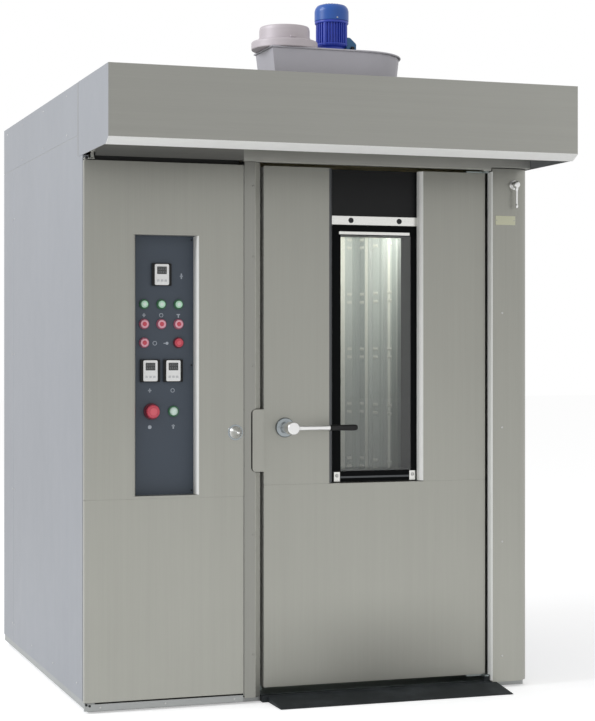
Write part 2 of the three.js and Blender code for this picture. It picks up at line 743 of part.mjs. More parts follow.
function controlPanel() {
  const plate = box(
    [controlX[0] - 5, controlX[1] + 5], [panelFront, panelFront + 3], [controlZ[0] - 5, controlZ[1] + 5]);
  const instruments = CONTROLLERS.map(({ dx, z }) => {
    const x = controlCentre + dx;
    const [w, h] = CONTROLLER_SIZE.map((size) => size / 2);
    return join(
      box([x - w, x + w], [panelFront - 6, panelFront + 1], [z - h, z + h]),
      box([x - w + 5, x + w - 5], [panelFront + 1, panelFront + 68], [z - h + 4, z + h - 4]),
    );
  });
  const switches = [...BUTTONS, EMERGENCY_STOP];
  const bezels = BUTTONS.map(({ dx, z, radius }) => bezel(controlCentre + dx, z, radius));
  const collar = bezel(controlCentre + EMERGENCY_STOP.dx, EMERGENCY_STOP.z, 15);
  const lamp = turned('y', [controlCentre + POWER_LAMP.dx, panelFront + 1, POWER_LAMP.z], [
    [0, 0], [POWER_LAMP.radius, 0], [POWER_LAMP.radius, 9], [10, 14], [0, 16],
  ], 20);
  const holes = switches.map(({ dx, z }) => rod(
    'y', [controlCentre + dx, 0, z], STEM + 2 * FIT, panelFront - 1, panelFront + 4, 12));
  return cut(join(plate, ...instruments, ...bezels, collar, lamp), ...holes);
}

const stem = [[0, -16], [STEM, -16], [STEM, -7], [9.5, -7], [9.5, -4], [STEM, -4]];

function pushButton({ dx, z, radius }) {
  const profile = [
    ...stem, [STEM, BUTTON_TRAVEL + 2], [radius, BUTTON_TRAVEL + 2], [radius, 11], [radius - 2, 13],
    [0, 13],
  ];
  return turned('y', [controlCentre + dx, panelFront, z], profile, BUTTON_SIDES);
}

function emergencyStop() {
  const { dx, z, radius } = EMERGENCY_STOP;
  const profile = [
    ...stem, [STEM, 8], [13, 8], [13, 16], [radius, 19], [radius, 26], [radius - 6, 31], [0, 33],
  ];
  return turned('y', [controlCentre + dx, panelFront, z], profile);
}

function cabinetLock() {
  const knob = [[0, -30], [8, -30], [8, 0.3], [19, 0.3], [19, 4], [14, 7], [5, 24], [0, 26]];
  const cam = box([lockX - 8, CABINET_WIDTH - 4], [26, 29.5], [LOCK_Z - 8, LOCK_Z + 8]);
  return join(turned('y', [lockX, 0, LOCK_Z], knob, 20), cam);
}

function switchgear() {
  const back = bulkheadFront - FIT;
  const solids = [box([90, 470], [back - 3, back], [500, 1800])];
  const rows = [
    { z: 1620, height: 80, depth: 85, width: 44, pitch: 54, count: 6 },
    { z: 1400, height: 86, depth: 60, width: 34, pitch: 40, count: 8 },
    { z: 1180, height: 80, depth: 85, width: 44, pitch: 54, count: 6 },
    { z: 960, height: 50, depth: 45, width: 26, pitch: 32, count: 10 },
  ];
  rows.forEach(({ z, height, depth, width, pitch, count }) => {
    solids.push(box([100, 460], [back - 12, back - 2], [z - 18, z + 18]));
    for (let i = 0; i < count; i += 1) {
      const left = 120 + i * pitch;
      solids.push(box([left, left + width], [back - depth, back - 8], [z - height / 2, z + height / 2]));
    }
  });
  solids.push(box([180, 380], [back - 90, back - 2], [600, 780]));
  return join(...solids);
}

// ---------- oven chamber ----------
const linerX = [chamberLeft - SHEET - FIT, chamberRight + SHEET + FIT];
const lampCentre = [0, chamberFront + LAMP_FROM_FRONT, LAMP_Z];
const LAMP_BODY = 46;

function chamberFrontFrame() {
  const inner = [doorLeft + 18, doorRight - 18];
  const head = doorTop - 29;
  const outline = [
    [chamberLeft, FLOOR_TOP + FIT], [inner[0], FLOOR_TOP + FIT], [inner[0], head], [inner[1], head],
    [inner[1], FLOOR_TOP + FIT], [chamberRight, FLOOR_TOP + FIT], [chamberRight, chamberTop + 3],
    [chamberLeft, chamberTop + 3],
  ];
  return tray('y', outline, frameFront, frameFront + FRAME_DEPTH);
}

function airSlots() {
  const slots = [];
  for (let column = 0; column < 4; column += 1) {
    for (let row = 0; row < 10; row += 1) {
      const y = chamberFront + 260 + column * 170;
      const z = 160 + row * 120;
      slots.push(box([chamberLeft - 8, chamberLeft + 1], [y, y + 12], [z, z + 90]));
    }
  }
  return slots;
}

function chamberLiner() {
  const shell = cut(
    box(linerX, [chamberFront, chamberRear + SHEET], [FLOOR_TOP - SHEET - 0.9, chamberTop + SHEET]),
    box([chamberLeft, chamberRight], [chamberFront - 1, chamberRear], [FLOOR_TOP, chamberTop]),
  );
  const apron = box(
    [columnRight + 2, postLeft - 2], [slabFront, chamberFront + 1], [FLOOR_TOP - SHEET - 0.9, FLOOR_TOP]);
  const sill = box(
    [chamberLeft, chamberRight], [frameFront, chamberFront + 1], [FLOOR_TOP - SHEET - 0.9, FLOOR_TOP]);
  const returnAir = box(
    [chamberLeft - 8, chamberLeft + 1], [rackCentreY - 230, rackCentreY + 230], [1560, 1800]);
  return cut(
    join(shell, apron, sill),
    ...airSlots(),
    returnAir,
    rod('z', [doorCentre, rackCentreY, 0], 30, chamberTop - 2, chamberTop + 6),
    rod('x', lampCentre, LAMP_BODY + 3, chamberRight - 1, chamberRight + 8),
  );
}

// One folded sheet that lines the rear and the right wall with upright air channels.
function airDuctPanels() {
  const pitch = 170;
  const slope = 15;
  const crest = 125;
  const depth = 50;
  const rear = chamberRear - 6;
  const right = chamberRight - 6;
  const path = [[chamberLeft + 20, rear]];
  const rearCount = Math.floor((right - chamberLeft - 60) / pitch);
  for (let i = 0; i < rearCount; i += 1) {
    const x = chamberLeft + 30 + i * pitch;
    path.push([x, rear], [x + slope, rear - depth], [x + slope + crest, rear - depth]);
    path.push([x + 2 * slope + crest, rear]);
  }
  path.push([right, rear]);
  const firstCrest = rear - 30;
  const lampBack = lampCentre[1] + LAMP_BODY + 24;
  const rightCount = Math.floor((firstCrest - lampBack) / pitch);
  for (let i = 0; i < rightCount; i += 1) {
    const y = firstCrest - i * pitch;
    path.push([right, y], [right - depth, y - slope], [right - depth, y - slope - crest]);
    path.push([right, y - 2 * slope - crest]);
  }
  return prism('z', strip(path, -SHEET), FLOOR_TOP + FIT, chamberTop - 40);
}

function insulationJacket() {
  const rear = [chamberRear + 19, BODY_DEPTH - PANEL_FOLD - 1];
  const left = [PANEL_FOLD + 3, 66];
  const right = [chamberRight + 10, bodyRight - PANEL_FOLD - 3];
  const z = [slabTop + FIT, jacketTop];
  const jacket = join(
    box(left, [bulkheadFront, rear[1]], z),
    box([left[0], right[1]], rear, z),
    box(right, [frameFront + 5, rear[1]], z),
    box([left[0], linerX[0] - 3], [bulkheadFront, bulkheadBack], z),
    box([linerX[0] - 47, linerX[0] - 3], [chamberFront, bulkheadFront + 1], z),
    box([left[0], right[1]], [bulkheadFront, rear[1]], [jacketBottom, jacketTop]),
    box([linerX[0] - 47, right[1]], [chamberFront, bulkheadFront + 1], [jacketBottom, jacketTop]),
  );
  return cut(
    jacket,
    rod('z', [doorCentre, rackCentreY, 0], 60, jacketBottom - 1, jacketTop + 1),
    rod('z', [blowerX, rackCentreY, 0], 60, jacketBottom - 1, jacketTop + 1),
  );
}

function chamberLamp() {
  return join(
    rod('x', lampCentre, LAMP_BODY, chamberRight - 14, chamberRight + 8),
    rod('x', lampCentre, LAMP_BODY - 6, chamberRight - 22, chamberRight - 13),
    rod('x', lampCentre, LAMP_BODY + 12, chamberRight - 8, chamberRight - FIT),
  );
}

const blowerX = (66 + linerX[0]) / 2;
const blowerZ = [chamberTop - 180, chamberTop - 70];

function circulationMotor() {
  const centre = [blowerX, rackCentreY, 0];
  return cut(
    join(
      rod('z', centre, 95, jacketTop + FIT, jacketTop + 14),
      rod('z', centre, 68, jacketTop + 12, jacketTop + 160),
    ),
    rod('z', centre, BLOWER_SHAFT + BEARING_FIT, jacketTop - 1, jacketTop + 62),
  );
}

function circulationImpeller() {
  const centre = [blowerX, rackCentreY, 0];
  return join(
    rod('z', centre, BLOWER_SHAFT, blowerZ[0] + 20, jacketTop + 58),
    rod('z', centre, 40, blowerZ[1] - 60, blowerZ[1] + 10),
    rod('z', centre, 190, blowerZ[1] - 3, blowerZ[1], 32),
    bladeRing(centre, 155, 60, 12, blowerZ[0], blowerZ[1] - 2, 50),
  );
}

function rackDrive() {
  const centre = [doorCentre, rackCentreY, 0];
  return cut(
    join(
      box([doorCentre - 85, doorCentre + 85], [rackCentreY - 85, rackCentreY + 85],
        [jacketTop + FIT, jacketTop + 86]),
      rod('x', [0, rackCentreY, jacketTop + 90], 62, doorCentre + 60, doorCentre + 290),
    ),
    rod('z', centre, RACK_SHAFT + BEARING_FIT, jacketTop - 1, jacketTop + 68),
  );
}

function rackHook() {
  const centre = [doorCentre, rackCentreY, 0];
  const hooks = [-1, 1].map((side) => {
    const x = doorCentre + side * 215;
    return prism('x', [
      [rackCentreY - 16, chamberTop - 78], [rackCentreY - 16, chamberTop - 130],
      [rackCentreY + 34, chamberTop - 130], [rackCentreY + 34, chamberTop - 100],
      [rackCentreY + 22, chamberTop - 100], [rackCentreY + 22, chamberTop - 116],
      [rackCentreY - 2, chamberTop - 116], [rackCentreY - 2, chamberTop - 78],
    ], x - 12, x + 12);
  });
  return join(
    rod('z', centre, RACK_SHAFT, chamberTop - 60, jacketTop + 64),
    rod('z', centre, 70, chamberTop - 32, chamberTop - 18),
    box([doorCentre - 240, doorCentre + 240], [rackCentreY - 22, rackCentreY + 22],
      [chamberTop - 80, chamberTop - 50]),
    ...hooks,
  );
}

function heaterBank() {
  const back = chamberRear + 19 - FIT;
  const x = [110, 530];
  const solids = [box(x, [back - 6, back], [860, 1520])];
  const ends = [170, 470];
  const tip = back - 820;
  for (let row = 0; row < 5; row += 1) {
    const z = 920 + row * 135;
    ends.forEach((end) => solids.push(rod('y', [end, 0, z], 13, tip, back - 3, 8)));
    solids.push(rod('x', [0, tip + 13, z], 13, ends[0] - 10, ends[1] + 10, 8));
  }
  return join(...solids);
}

function steamGenerator() {
  const x = [130, 510];
  const y = [460, 1060];
  const bottom = slabTop + FIT;
  const solids = [
    box([x[0], x[0] + 5], y, [bottom, 640]),
    box([x[1] - 5, x[1]], y, [bottom, 640]),
  ];
  for (let i = 0; i < 7; i += 1) {
    const z = 90 + i * 80;
    solids.push(box(x, [y[0] + 20, y[1] - 20], [z, z + 8]));
    solids.push(box(x, [y[0] + 20, y[0] + 26], [z, z + 30]));
    solids.push(box(x, [y[1] - 26, y[1] - 20], [z, z + 30]));
  }
  return join(...solids);
}

// ---------- the parts ----------
add('floor_slab', floorSlab(), 'zinc');
add('base_rail', baseRail(), 'zinc');
add('threshold', threshold(), 'zinc');
add('entry_ramp', entryRamp(), 'ramp');
add('left_side_panel', leftSidePanel(), 'side');
add('left_rear_panel', leftRearPanel(), 'side');
add('left_top_panel', leftTopPanel(), 'side');
add('right_side_panel', rightSidePanel(), 'side');
add('rear_panel', rearPanel(), 'side');
add('roof_panel', roofPanel(), 'side');
add('header_panel', headerPanel(), 'front');
add('center_column', centreColumn(), 'front');
add('right_post', rightPost(), 'front');
add('latch_keeper', latchKeeper(), 'front');
add('damper_lever', damperLever(), 'bright');

add('hood', hood(), 'front');
add('fan_housing', fanHousing(), 'duct');
add('fan_housing_lid', fanHousingLid(), 'duct');
add('exhaust_collar', exhaustCollar(), 'collar');
add('fan_motor', fanMotor(), 'motorBlue');
add('motor_cowl', motorCowl(), 'cowlBlue');
add('hood_fan_impeller', hoodFanImpeller(), 'zinc');

add('door_sheet_left', doorSheetLeft(), 'front');
add('door_sheet_right', doorSheet([windowRight, doorRight], [DOOR_SEAM_Z, doorTop]), 'front');
add('door_sheet_lower', doorSheet([doorLeft, doorRight], [doorBottom, DOOR_SEAM_Z - 1]), 'front');
add('window_surround', windowSurround(), 'black');
add('outer_glass', outerGlass(), 'glass');
add('door_back_plate', doorBackPlate(), 'liner');
add('door_inner_pan', doorInnerPan(), 'liner');
add('inner_glass', innerGlass(), 'glass');
add('door_seal', doorSeal(), 'rubber');
add('handle_rosette', handleRosette(), 'bright');
add('handle_lever', handleLever(), 'bright');
add('handle_grip', handleGrip(), 'black');
add('latch_bolt', latchBolt(), 'bright');

add('cabinet_door_upper', cabinetDoorUpper(), 'front');
add('cabinet_door_lower', cabinetDoorLower(), 'front');
add('control_panel', controlPanel(), 'slate');
BUTTONS.forEach((button) => add(button.name, pushButton(button), button.finish));
add('emergency_stop', emergencyStop(), 'red');
add('cabinet_lock', cabinetLock(), 'bright');
add('switchgear', switchgear(), 'zinc');

add('chamber_front_frame', chamberFrontFrame(), 'liner');
add('chamber_liner', chamberLiner(), 'liner');
add('air_duct_panels', airDuctPanels(), 'liner');
add('insulation_jacket', insulationJacket(), 'wool');
add('chamber_lamp', chamberLamp(), 'bright');
add('rack_drive', rackDrive(), 'iron');
add('rack_hook', rackHook(), 'bright');
add('circulation_motor', circulationMotor(), 'iron');
add('circulation_impeller', circulationImpeller(), 'zinc');
add('heater_bank', heaterBank(), 'iron');
add('steam_generator', steamGenerator(), 'iron');

export default oven;
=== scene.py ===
"""Looks of a rotating rack oven: sheet steel skins, door, controls, fan gear and chamber."""
import json
import math
from itertools import product

import bmesh
import bpy
from mathutils import Matrix, Vector

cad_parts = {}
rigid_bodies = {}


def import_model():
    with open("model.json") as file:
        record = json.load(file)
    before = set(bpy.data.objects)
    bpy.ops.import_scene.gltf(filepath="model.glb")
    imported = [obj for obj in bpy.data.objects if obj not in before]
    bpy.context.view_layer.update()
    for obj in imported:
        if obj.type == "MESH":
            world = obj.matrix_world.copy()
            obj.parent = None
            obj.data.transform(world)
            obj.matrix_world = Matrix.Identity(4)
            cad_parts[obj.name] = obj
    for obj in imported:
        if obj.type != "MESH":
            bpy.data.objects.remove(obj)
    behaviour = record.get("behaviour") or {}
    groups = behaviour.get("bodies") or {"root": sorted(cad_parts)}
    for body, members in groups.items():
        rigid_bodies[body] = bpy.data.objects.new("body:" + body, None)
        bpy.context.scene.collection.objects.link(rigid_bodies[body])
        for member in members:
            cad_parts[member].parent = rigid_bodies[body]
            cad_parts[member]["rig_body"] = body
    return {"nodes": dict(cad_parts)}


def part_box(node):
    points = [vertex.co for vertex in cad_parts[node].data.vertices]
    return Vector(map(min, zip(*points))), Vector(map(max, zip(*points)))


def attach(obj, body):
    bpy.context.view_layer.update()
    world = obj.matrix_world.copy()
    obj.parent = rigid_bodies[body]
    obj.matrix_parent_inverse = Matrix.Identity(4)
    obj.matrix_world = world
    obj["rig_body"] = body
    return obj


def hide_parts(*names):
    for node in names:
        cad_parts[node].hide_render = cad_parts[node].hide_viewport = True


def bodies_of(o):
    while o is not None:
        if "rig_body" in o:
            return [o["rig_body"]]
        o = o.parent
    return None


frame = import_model()
nodes = frame["nodes"]
scene = bpy.context.scene
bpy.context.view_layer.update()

ORIGIN_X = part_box("left_side_panel")[0].x
ORIGIN_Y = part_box("cabinet_door_upper")[0].y
MM = 0.001
LEAF, CABINET = "oven_door", "cabinet_door"


def P(x, y, z):
    """A place in millimetres from the casing's left face, its front plane and the floor."""
    return Vector((ORIGIN_X + x * MM, ORIGIN_Y + y * MM, z * MM))


def mm(node):
    """The lowest and highest corner of a node in the same millimetres."""
    low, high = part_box(node)
    origin = Vector((ORIGIN_X, ORIGIN_Y, 0))
    return (low - origin) / MM, (high - origin) / MM


# ---------- materials ----------
M = {}


def feed(tree, node, inputs):
    """Links a node's inputs to sockets, or sets them to values."""
    for key, value in inputs.items():
        if isinstance(value, bpy.types.NodeSocket):
            tree.links.new(value, node.inputs[key])
        else:
            node.inputs[key].default_value = value


def add_node(tree, kind, inputs=None, **settings):
    node = tree.nodes.new("ShaderNode" + kind)
    for key, value in settings.items():
        setattr(node, key, value)
    feed(tree, node, inputs or {})
    return node


def calc(tree, operation, first, second=0.0, third=0.0):
    return add_node(tree, "Math", {0: first, 1: second, 2: third}, operation=operation).outputs[0]


def noise(tree, place, scale, detail=2.0, rough=0.5):
    """Noise from 0 to 1 round 0.5, at one scale or at its own along x, y and z."""
    if not isinstance(scale, tuple):
        scale = (scale,) * 3
    stretched = add_node(tree, "VectorMath", {0: place, 1: scale}, operation="MULTIPLY").outputs[0]
    return add_node(tree, "TexNoise", {
        "Vector": stretched, "Scale": 1.0, "Detail": detail, "Roughness": rough}).outputs[0]


def swing(tree, value, amount):
    """value, from 0 to 1, as an amount either side of nothing."""
    return calc(tree, "MULTIPLY_ADD", value, 2 * amount, -amount)


def mapped(tree, value, low, high, start=0.0, end=1.0, **settings):
    """value, from low to high, as start to end."""
    return add_node(tree, "MapRange", {
        "Value": value, "From Min": low, "From Max": high, "To Min": start, "To Max": end}, **settings).outputs[0]


def tinted(tree, colour, factor):
    """colour times factor."""
    return add_node(tree, "VectorMath", {0: colour, "Scale": factor}, operation="SCALE").outputs[0]


def bumped(tree, height, strength, distance):
    return add_node(tree, "Bump", {"Height": height, "Strength": strength, "Distance": distance}).outputs[0]


def seen_directly(tree):
    """1 for the rays that show the room: straight to it, mirrored or through glass."""
    path = add_node(tree, "LightPath")
    seen = calc(tree, "MAXIMUM", path.outputs["Is Camera Ray"], path.outputs["Is Glossy Ray"])
    return calc(tree, "MAXIMUM", seen, path.outputs["Is Transmission Ray"])


def empty_tree(owner):
    owner.use_nodes = True
    owner.node_tree.nodes.clear()
    return owner.node_tree


def start_material(name):
    """Puts a new material in M. Gives its tree, shader, output and the place on the object."""
    M[name] = bpy.data.materials.new(name + "_look")
    tree = empty_tree(M[name])
    output = add_node(tree, "OutputMaterial")
    shader = add_node(tree, "BsdfPrincipled")
    feed(tree, output, {0: shader.outputs[0]})
    return tree, shader, output, add_node(tree, "TexCoord").outputs["Object"]


# Noise scales per metre: along and across the grain, and along x, y and z.
HAIRS, STREAKS = (4, 620), (0.7, 46)
CLOUDS, MARKS = (1.6, 1.6, 1.1), (9, 9, 7)


def along(grain, long, across):
    return tuple(long if axis == grain else across for axis in "xyz")


def steel(name, colour, grain="z", metallic=0.8, rough=0.4, fine=0.05, mid=0.05, broad=0.06, smudge=0.05,
          foot=1.0, head=1.0, axis=2, span=(0.4, 1.95)):
    """Brushed sheet: fine and coarse streaks along the grain, and slow changes over the sheet.
    Its tone goes from foot to head over the span, in metres along the axis: painted light and shade."""
    tree, shader, _, place = start_material(name)
    hairs = noise(tree, place, along(grain, *HAIRS), 3, 0.6)
    streaks = noise(tree, place, along(grain, *STREAKS), 3, 0.55)
    clouds = noise(tree, place, CLOUDS, 2, 0.4)
    marks = noise(tree, place, MARKS, 5, 0.65)
    total = calc(tree, "ADD", swing(tree, hairs, fine), swing(tree, streaks, mid))
    total = calc(tree, "ADD", total, swing(tree, clouds, broad))
    total = calc(tree, "ADD", total, 1.0)
    if foot != head:
        height = add_node(tree, "SeparateXYZ", {0: place}).outputs[axis]
        total = calc(tree, "MULTIPLY", total, mapped(tree, height, *span, foot, head))
    dull = calc(tree, "ADD", swing(tree, marks, smudge), swing(tree, streaks, smudge))
    feed(tree, shader, {
        "Base Color": tinted(tree, colour, total), "Roughness": calc(tree, "ADD", dull, rough),
        "Metallic": metallic, "Normal": bumped(tree, hairs, 0.25, 0.00008)})
    return tree, shader, place


def shaded(name, colour, centre, reach, low, high, depth):
    """Brushed sheet with painted shade: darker towards its foot, most round x = centre."""
    tree, shader, place = steel(name, colour, foot=1.13, head=0.93)
    source = shader.inputs["Base Color"].links[0].from_socket
    x, _, z = add_node(tree, "SeparateXYZ", {0: place}).outputs
    down = mapped(tree, z, low, high, 1.0, 0.0, interpolation_type="SMOOTHSTEP")
    off = calc(tree, "ABSOLUTE", calc(tree, "SUBTRACT", x, centre))
    near = mapped(tree, off, 0.0, reach, 1.0, 0.35, interpolation_type="SMOOTHSTEP")
    factor = calc(tree, "MULTIPLY_ADD", calc(tree, "MULTIPLY", down, near), -depth, 1.0)
    feed(tree, shader, {"Base Color": tinted(tree, source, factor)})


def plain(name, colour, metallic=0.0, rough=0.45, speck=0.04, grit=900.0, bump=0.15, coat=0.0, sheen=0.5):
    """Paint, plastic or rubber: a faint grain and uneven sheen."""
    tree, shader, _, place = start_material(name)
    grains = noise(tree, place, grit, 2)
    clouds = noise(tree, place, 14, 3)
    total = calc(tree, "ADD", swing(tree, clouds, speck), 1.0)
    feed(tree, shader, {
        "Base Color": tinted(tree, colour, total), "Metallic": metallic, "Coat Weight": coat,
        "Roughness": calc(tree, "ADD", swing(tree, clouds, 0.06), rough), "Specular IOR Level": sheen,
        "Normal": bumped(tree, grains, bump, 0.0001)})


def worn(name, colour, worn_colour, metallic, rough):
    """A dark rolled plate, rubbed paler in patches."""
    tree, shader, _, place = start_material(name)
    patches = noise(tree, place, 9, 6, 0.7)
    grains = noise(tree, place, 260, 3)
    rubbed = mapped(tree, patches, 0.48, 0.68)
    mixed = add_node(tree, "Mix", {0: rubbed, 6: colour, 7: worn_colour}, data_type="RGBA")
    feed(tree, shader, {
        "Base Color": mixed.outputs[2], "Roughness": calc(tree, "ADD", swing(tree, patches, 0.15), rough),
        "Metallic": metallic, "Normal": bumped(tree, grains, 0.4, 0.0003)})


def clear(name, tint):
    """Pane glass that lets light through to what is behind it."""
    tree, shader, output, place = start_material(name)
    haze = noise(tree, place, (6, 6, 9), 4, 0.6)
    feed(tree, shader, {
        "Base Color": (*tint, 1), "Transmission Weight": 1.0, "IOR": 1.45, "Specular IOR Level": 0.2,
        "Roughness": calc(tree, "MULTIPLY", haze, 0.006)})
    open_air = add_node(tree, "BsdfTransparent", {"Color": (*tint, 1)})
    shadow = add_node(tree, "LightPath").outputs["Is Shadow Ray"]
    mix = add_node(tree, "MixShader", {0: shadow, 1: shader.outputs[0], 2: open_air.outputs[0]})
    feed(tree, output, {0: mix.outputs[0]})


def glowing(name, colour, strength):
    tree, shader, _, place = start_material(name)
    ripple = noise(tree, place, 180, 2)
    feed(tree, shader, {
        "Base Color": (*colour, 1), "Roughness": 0.25, "Emission Color": (*colour, 1),
        "Emission Strength": strength, "Normal": bumped(tree, ripple, 0.3, 0.0008)})


FRONT = (0.335, 0.335, 0.302)
# Front steel, darker towards its head: painted shadow of the hood.
steel("front", FRONT, foot=1.13, head=0.93)
# Lower door sheet: painted shade, darkest low down round x = 0.25 m.
shaded("door_foot", FRONT, 0.25, 0.5, 0.06, 0.42, 0.36)
steel("column", (0.288, 0.288, 0.264), foot=1.04, head=0.97)
# A lighter copy of the front steel: painted light, on the header under the hood and on the column's bevel.
steel("header", (0.5, 0.5, 0.46), "x")
# Darker steel, darkest at its foot: painted shadow of the hood on the strip over the cabinet door.
steel("header_painted_shadow", (0.36, 0.36, 0.335), "x", foot=0.45, head=0.95, span=(1.993, 2.03))
# Near-black paint: painted shade in the gap over the cabinet door.
plain("painted_gap_shade", (0.035, 0.035, 0.033), rough=0.6)
steel("hood", (0.318, 0.318, 0.293), "x", broad=0.05, foot=0.93, head=1.06, axis=0, span=(-0.8, 0.8))
steel("side", (0.335, 0.35, 0.38), rough=0.45, fine=0.03, mid=0.04, foot=0.88, head=0.99)
steel("roof", (0.44, 0.455, 0.49), "x", rough=0.45)
# Chamber and door liner, darker towards its foot: painted falloff of the chamber light.
steel("liner", (0.385, 0.435, 0.43), rough=0.36, mid=0.1, broad=0.14, smudge=0.1, foot=0.72, head=1.04)
steel("bright", (0.74, 0.74, 0.715), "x", metallic=0.95, rough=0.24, mid=0.03)
steel("satin", (0.78, 0.78, 0.77), "x", metallic=0.95, rough=0.3, fine=0.02, mid=0.02)
# A darker copy of the chrome: painted dark reflection on the rosette and the lock's escutcheon.
steel("chrome", (0.3, 0.33, 0.345), "x", metallic=1.0, rough=0.16, fine=0.02, mid=0.02)
steel("zinc", (0.37, 0.38, 0.375), "x", rough=0.5, broad=0.1, smudge=0.1)
steel("dark", (0.1, 0.105, 0.11), rough=0.5, broad=0.12, smudge=0.1)
steel("screw", (0.5, 0.5, 0.49), metallic=1.0, rough=0.3, fine=0.02, mid=0.02)
steel("dark_screw", (0.03, 0.032, 0.034), fine=0.02, mid=0.02)
worn("ramp", (0.011, 0.015, 0.017, 1), (0.034, 0.04, 0.044, 1), 0.25, 0.7)
plain("slate", (0.054, 0.071, 0.096), rough=0.5)
plain("black", (0.005, 0.0055, 0.006), rough=0.4, sheen=0.25)
plain("ink", (0.004, 0.0045, 0.005), rough=0.55, sheen=0.05)
clear("pane", (0.945, 0.965, 0.95))
plain("rubber", (0.018, 0.018, 0.019), rough=0.7, bump=0.3)
plain("grip", (0.006, 0.006, 0.0065), rough=0.42, sheen=0.3)
plain("wool", (0.56, 0.5, 0.3), rough=0.95, speck=0.3, grit=240, bump=1.0)
plain("fan", (0.43, 0.42, 0.455), metallic=0.35, rough=0.5, speck=0.06)
plain("collar", (0.54, 0.49, 0.515), metallic=0.15, rough=0.5, speck=0.08)
plain("motor", (0.022, 0.055, 0.46), rough=0.4, coat=0.1)
plain("cowl", (0.01, 0.09, 0.4), rough=0.38, coat=0.1)
plain("junction", (0.012, 0.12, 0.27), rough=0.4, coat=0.2)
plain("green", (0.58, 0.92, 0.69), rough=0.3, coat=0.3)
# Pale green: painted highlight on the start buttons' centres.
plain("green_painted_highlight", (0.84, 0.99, 0.89), rough=0.3, coat=0.3)
plain("rose_rim", (0.52, 0.12, 0.2), rough=0.4)
plain("red_pale", (0.82, 0.12, 0.16), rough=0.3, coat=0.3)
plain("red_dark", (0.14, 0.012, 0.03))
plain("key", (0.68, 0.69, 0.7), rough=0.4)
plain("green_ring", (0.03, 0.16, 0.06), rough=0.4)
plain("red", (0.66, 0.06, 0.1), rough=0.3, coat=0.3)
plain("rose", (0.92, 0.48, 0.57), rough=0.35, coat=0.3)
plain("white", (0.99, 0.99, 0.98), rough=0.4)
plain("grey", (0.3, 0.31, 0.33))
plain("cream", (0.72, 0.72, 0.53))
plain("display", (0.012, 0.016, 0.015), rough=0.12, coat=0.6)
plain("mark", (0.46, 0.5, 0.56), rough=0.5)
plain("iron", (0.075, 0.08, 0.085), metallic=0.4, rough=0.6, grit=320, bump=0.6)
plain("copper", (0.6, 0.25, 0.13), metallic=1.0, rough=0.35)
plain("wire_blue", (0.02, 0.08, 0.3), rough=0.4)
plain("wire_red", (0.4, 0.02, 0.02), rough=0.4)
plain("wire_black", (0.01, 0.01, 0.01), rough=0.4)
glowing("lamp", (1.0, 0.86, 0.62), 6.0)
# Pale paint on the recess's right reveal: painted light where the edge catches the key light.
plain("reveal_painted_light", (0.8, 0.8, 0.77), metallic=0.1, rough=0.5)
# Near-white paint on rounded bead edges: painted highlight.
plain("edge_painted_highlight", (0.93, 0.93, 0.9), rough=0.5)
# Light grey paint on strips in the door and cabinet gaps: painted light in the gaps.
plain("edge", (0.56, 0.56, 0.53), rough=0.5)
# Near-white paint on the hood's slanted lip: painted reflection of the floor.
plain("lip", (0.99, 0.99, 0.965), rough=0.5)
# Pale and dull steel for strips on the duct crests: painted highlights and painted shade bands.
steel("duct_painted_highlight", (0.6, 0.63, 0.59), rough=0.36)
steel("duct_painted_shade", (0.29, 0.335, 0.33), rough=0.42)
steel("rivet", (0.5, 0.53, 0.5), rough=0.42)
plain("mint", (0.72, 0.9, 0.8), rough=0.2, coat=0.5)


def body_of(node):
    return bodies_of(nodes[node])[0]


# ---------- shapes ----------
# A shape's own x, y and up for each way that its up can point.
TURNS = {
    "up": ((1, 0, 0), (0, 1, 0), (0, 0, 1)),
    "down": ((1, 0, 0), (0, -1, 0), (0, 0, -1)),
    "front": ((1, 0, 0), (0, 0, 1), (0, -1, 0)),
    "back": ((-1, 0, 0), (0, 0, 1), (0, 1, 0)),
    "right": ((0, 1, 0), (0, 0, 1), (1, 0, 0)),
    "left": ((0, -1, 0), (0, 0, 1), (-1, 0, 0)),
}


def facing(direction, centre):
    """Turns a shape's own up towards a direction and puts it at centre."""
    return Matrix.Translation(Vector(centre)) @ Matrix(TURNS[direction]).transposed().to_4x4()


def soft(points, radius, steps=3, loop=False):
    """An outline with its corners rounded."""
    points = [Vector(p) for p in points]
    count = len(points)
    out = []
    for i, point in enumerate(points):
        if not loop and i in (0, count - 1):
            out.append(point)
            continue
        before = points[i - 1]
        after = points[(i + 1) % count]
        reach = min(radius, (before - point).length * 0.48, (after - point).length * 0.48)
        start = point + (before - point).normalized() * reach
        end = point + (after - point).normalized() * reach
        for k in range(steps + 1):
            t = k / steps
            out.append(start * (1 - t) ** 2 + point * 2 * t * (1 - t) + end * t ** 2)
    return out


def polar(radius, degrees):
    angle = math.radians(degrees)
    return radius * math.cos(angle), radius * math.sin(angle)


def circle(centre, radius, count=24, start=0.0, end=360.0):
    """Points round a circle, or from the start to the end of an arc."""
    steps = count if end - start >= 360 else count - 1
    points = [polar(radius, start + (end - start) * i / steps) for i in range(count)]
    return [(centre[0] + x, centre[1] + y) for x, y in points]


def grid(*ranges):
    """Each place with one of the values for x, y and z. A range is a number or several."""
    return list(product(*(values if isinstance(values, tuple) else (values,) for values in ranges)))


